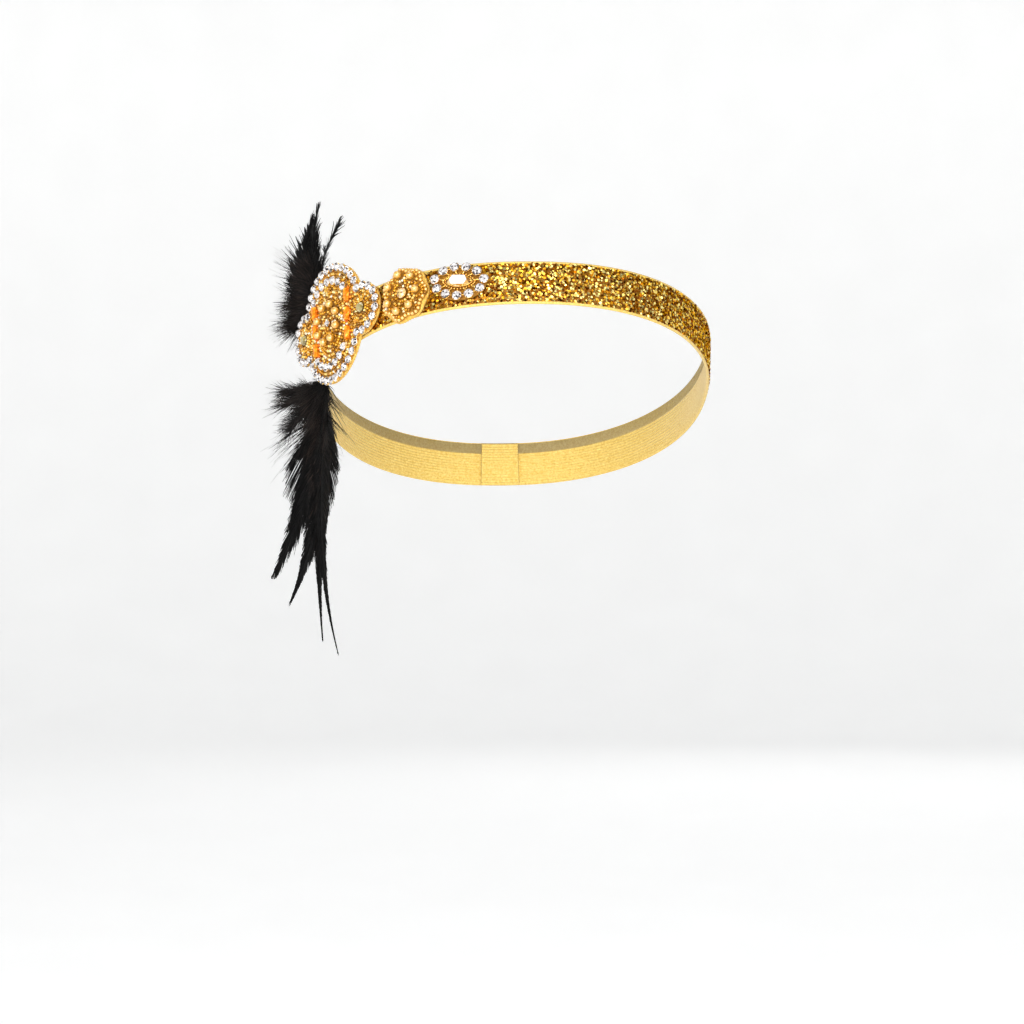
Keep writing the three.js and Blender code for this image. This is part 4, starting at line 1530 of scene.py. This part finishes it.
def quill(line, places=24):
    share = np.linspace(0, 0.98, places)
    point, _, side, _ = line.at(share)
    thick = blend(*quill_half_wide, share)[None]
    return fibres(point[None], side[None], thick, thick, np.full((1, places - 1), 0.3))


def vane_barbs(line, width, slim, look, places=7):
    """Barbs on both sides of the quill; sleek ones lie nearly along it, their tips in one edge."""
    count = int(line.length * 0.88 / look.pitch)
    knots = np.arange(0, line.length + 20, split_pitch)
    share = np.linspace(*vane_span, count)
    k = np.linspace(0, 1, places)
    loose = look.loose
    start, ahead, side, out = line.at(share)
    shapes = []
    for hand in (-1, 1):
        edge = from_table(vane_edge, share) ** slim
        split = np.interp(share * line.length, knots, random.normal(0, 1, len(knots)))
        reach = width / 2 * edge * (1 + 0.1 * loose * split + random.normal(0, 0.04 * loose, count))
        angle = from_table(barb_angles, share) * (0.75 + 0.25 * loose)
        angle = angle + 3 * loose * split + random.normal(0, 2 * loose, count)
        angle = np.radians(np.maximum(angle, barb_least_angle))
        length = np.minimum(reach / np.sin(angle), (1.01 - share) * line.length * 1.1 + 2)
        straight = ahead * np.cos(angle)[:, None] + side * hand * np.sin(angle)[:, None]
        lift = loose * (0.06 * split + random.normal(0, 0.05, count))
        bend = ahead * 0.16 - side * hand * 0.1 + out * lift[:, None]
        paths = curved(start, straight, bend, length, k)
        wide = blend(*barb_half_wide, k)[None] * random.uniform(0.85, 1.2, count)[:, None]
        # Each barb's tint is a random tone of its own, lightened a little towards its tip as painted light
        # through the thin end.
        shade = random.uniform(0.0, 0.5, count)[:, None] + np.linspace(0, 0.1, places - 1)[None]
        shapes.append(fibres(paths, ahead[:, None], wide, wide * 0.35, shade))
    return shapes


def down(line, width, count, last, spread, places=5):
    """Loose downy barbs in small tufts, most of them on the side away from the head."""
    k = np.linspace(0, 1, places)
    tufts = max(1, count // tuft_strands)
    tuft = random.integers(0, tufts, count)
    root = 0.1 + random.beta(1.1, 1.6, tufts) * (last - 0.1)
    share = np.clip(root[tuft] + random.normal(0, 0.018, count), 0.05, last)
    start, ahead, _, _ = line.at(share)
    scatter = random.normal(0, 1, (tufts, 3))[tuft] * 0.85 + random.normal(0, 0.4, (count, 3))
    away = square_to(scatter * down_scatter + down_lean, ahead)
    angle = np.radians(random.normal(spread, 11, tufts)[tuft] + random.normal(0, 6, count))
    length = width * random.uniform(0.45, 0.85, tufts)[tuft] * random.uniform(0.55, 1.05, count)
    straight = ahead * np.cos(angle)[:, None] + away * np.sin(angle)[:, None]
    bent = random.normal(0, 0.9, tufts)[tuft] + random.normal(0, 0.3, count)
    curl = ahead * 0.35 + turned_about(away, ahead, bent) * 0.3 + down_fall
    sway = random.normal(0, 0.2, (count, places, 3)) * k[None, :, None]
    paths = curved(start, straight, curl, length, k) + sway
    wide = blend(*down_half_wide, k)[None] * random.uniform(0.8, 1.3, count)[:, None]
    # Each strand's tint is a random tone of its own, lightened towards its tip into brown-grey as painted
    # light shining through the thin end.
    shade = random.uniform(0.0, 0.4, count)[:, None] + np.linspace(0, 0.5, places - 1)[None]
    return fibres(paths, ahead[:, None], wide, wide, shade)


def plume(name, root_across, reach, locks, look):
    """A plume: the first locks of its table are sleek feathers, the others only down."""
    vanes, fluff = [], []
    for i, row in enumerate(locks):
        route, width, roll, slim = lock_lines(root_across, reach, row)
        line = FeatherLine(route, roll)
        if i < look.vaned:
            vanes.append(quill(line))
            vanes += vane_barbs(line, width, slim, look)
            fluff.append(down(line, width, int(look.wild * line.length), *sleek_down))
        else:
            width = max(width, least_down_width)
            fluff.append(down(line, width, int(look.fluffy * line.length), *full_down))
    head = ball(plume_head_long / 2, plume_head_wide / 2, plume_head_thick / 2, 20, 10, tints=0.2)
    vanes.append(copied(head, large.stand(-plume_back, root_across, plume_level)))
    piece(f"{name}_vanes", vanes, ["plume"], [name])
    piece(f"{name}_down", fluff, ["plume"])


# The stage, the light and the camera

def place_camera():
    turn = Matrix.Rotation(math.radians(camera_yaw), 3, "Z")
    tip = Matrix.Rotation(-math.radians(camera_roll), 3, "Y")
    axes = (tip @ turn).transposed()
    right, ahead, up = axes.col
    data = bpy.data.cameras.new("camera")
    data.lens = camera_lens
    data.sensor_width = camera_sensor
    data.clip_end = 20
    camera = added("camera", data)
    matrix = Matrix((right, up, -ahead)).transposed().to_4x4()
    matrix.translation = axes @ Vector((camera_side, -camera_back, camera_height)) * metres
    camera.matrix_world = matrix
    bpy.context.scene.camera = camera


def place_lamp(name, spot, width, power):
    data = bpy.data.lights.new(name, "AREA")
    data.shape = "DISK"
    data.size = width
    data.energy = power
    lamp = added(name, data)
    lamp.location = spot
    lamp.rotation_mode = "QUATERNION"
    lamp.rotation_quaternion = (-lamp.location).to_track_quat("-Z", "Y")
    lamp.visible_camera = False


def stage_look():
    look = Look("pale_stage", "#f4f4f3", roughness=1.0, emission_strength=stage_glow)
    look.set("Emission Color", colour("#ffffff"))
    return look.mottled("#f2f2f1", "#f6f6f5", 60)


def make_stage(sides=96):
    """A pale floor that curves up into a wall all round."""
    flat = stage_radius - stage_cove
    profile = [(flat, floor_height)]
    profile += [(flat + stage_cove * math.cos(a), floor_height + stage_cove * (1 + math.sin(a)))
                for a in np.linspace(-math.pi / 2, 0, 13)[1:]]
    profile.append((stage_radius, stage_wall))
    points = [(*spot, height) for radius, height in profile
              for spot in oval((radius, radius), on_circle(sides))]
    faces = [tuple(range(sides))]
    for low in range(0, len(points) - sides, sides):
        for k in range(sides):
            n = (k + 1) % sides
            faces.append((low + k, low + sides + k, low + sides + n, low + n))
    stage = object_of("stage", shape_of(points, faces), [stage_look().material])


def light_stage():
    """A pale world, the lamps, and a view that shows colours as they are."""
    world = bpy.data.worlds.new("studio")
    bpy.context.scene.world = world
    world.use_nodes = True
    world.node_tree.nodes["Background"].inputs["Color"].default_value = colour("#f4f6fa")
    world.node_tree.nodes["Background"].inputs["Strength"].default_value = world_strength
    for row in lamps:
        place_lamp(*row)
    bpy.context.scene.view_settings.view_transform = "Standard"


place_camera()
make_stage()
light_stage()

band_body()
band_flakes()
band_lap()
felt_plate("large_felt_plate", large, large_outline(large_plate_margin), "large_felt")
felt_plate("flower_felt_plate", flower, flower_outline(), "flower_felt")
felt_plate("leaf_felt_plate", leaf, leaf_outline(), "leaf_felt", "bed")
edge_stitches()
stone_chain("large_outer_chain", large, outer_stone, outer_row(), "large_outer_stones")
for end, side in (("top", 1), ("bottom", -1)):
    stone_chain(f"large_inner_chain_{end}", large, outer_stone, inner_row(side),
                f"large_inner_stones_{end}", ring=False)
stone_chain("leaf_chain", leaf, leaf_stone, leaf_spots(), "leaf_stones")
navette_cup()
navette_cut()
crystal()
flower_centre()
smoky_stones()
large_field()
rosettes()
bugles()
large_filling()
flower_beads()
plume("upper_plume", upper_root, upper_reach, upper_locks, upper_look)
plume("lower_plume", lower_root, lower_reach, lower_locks, lower_look)
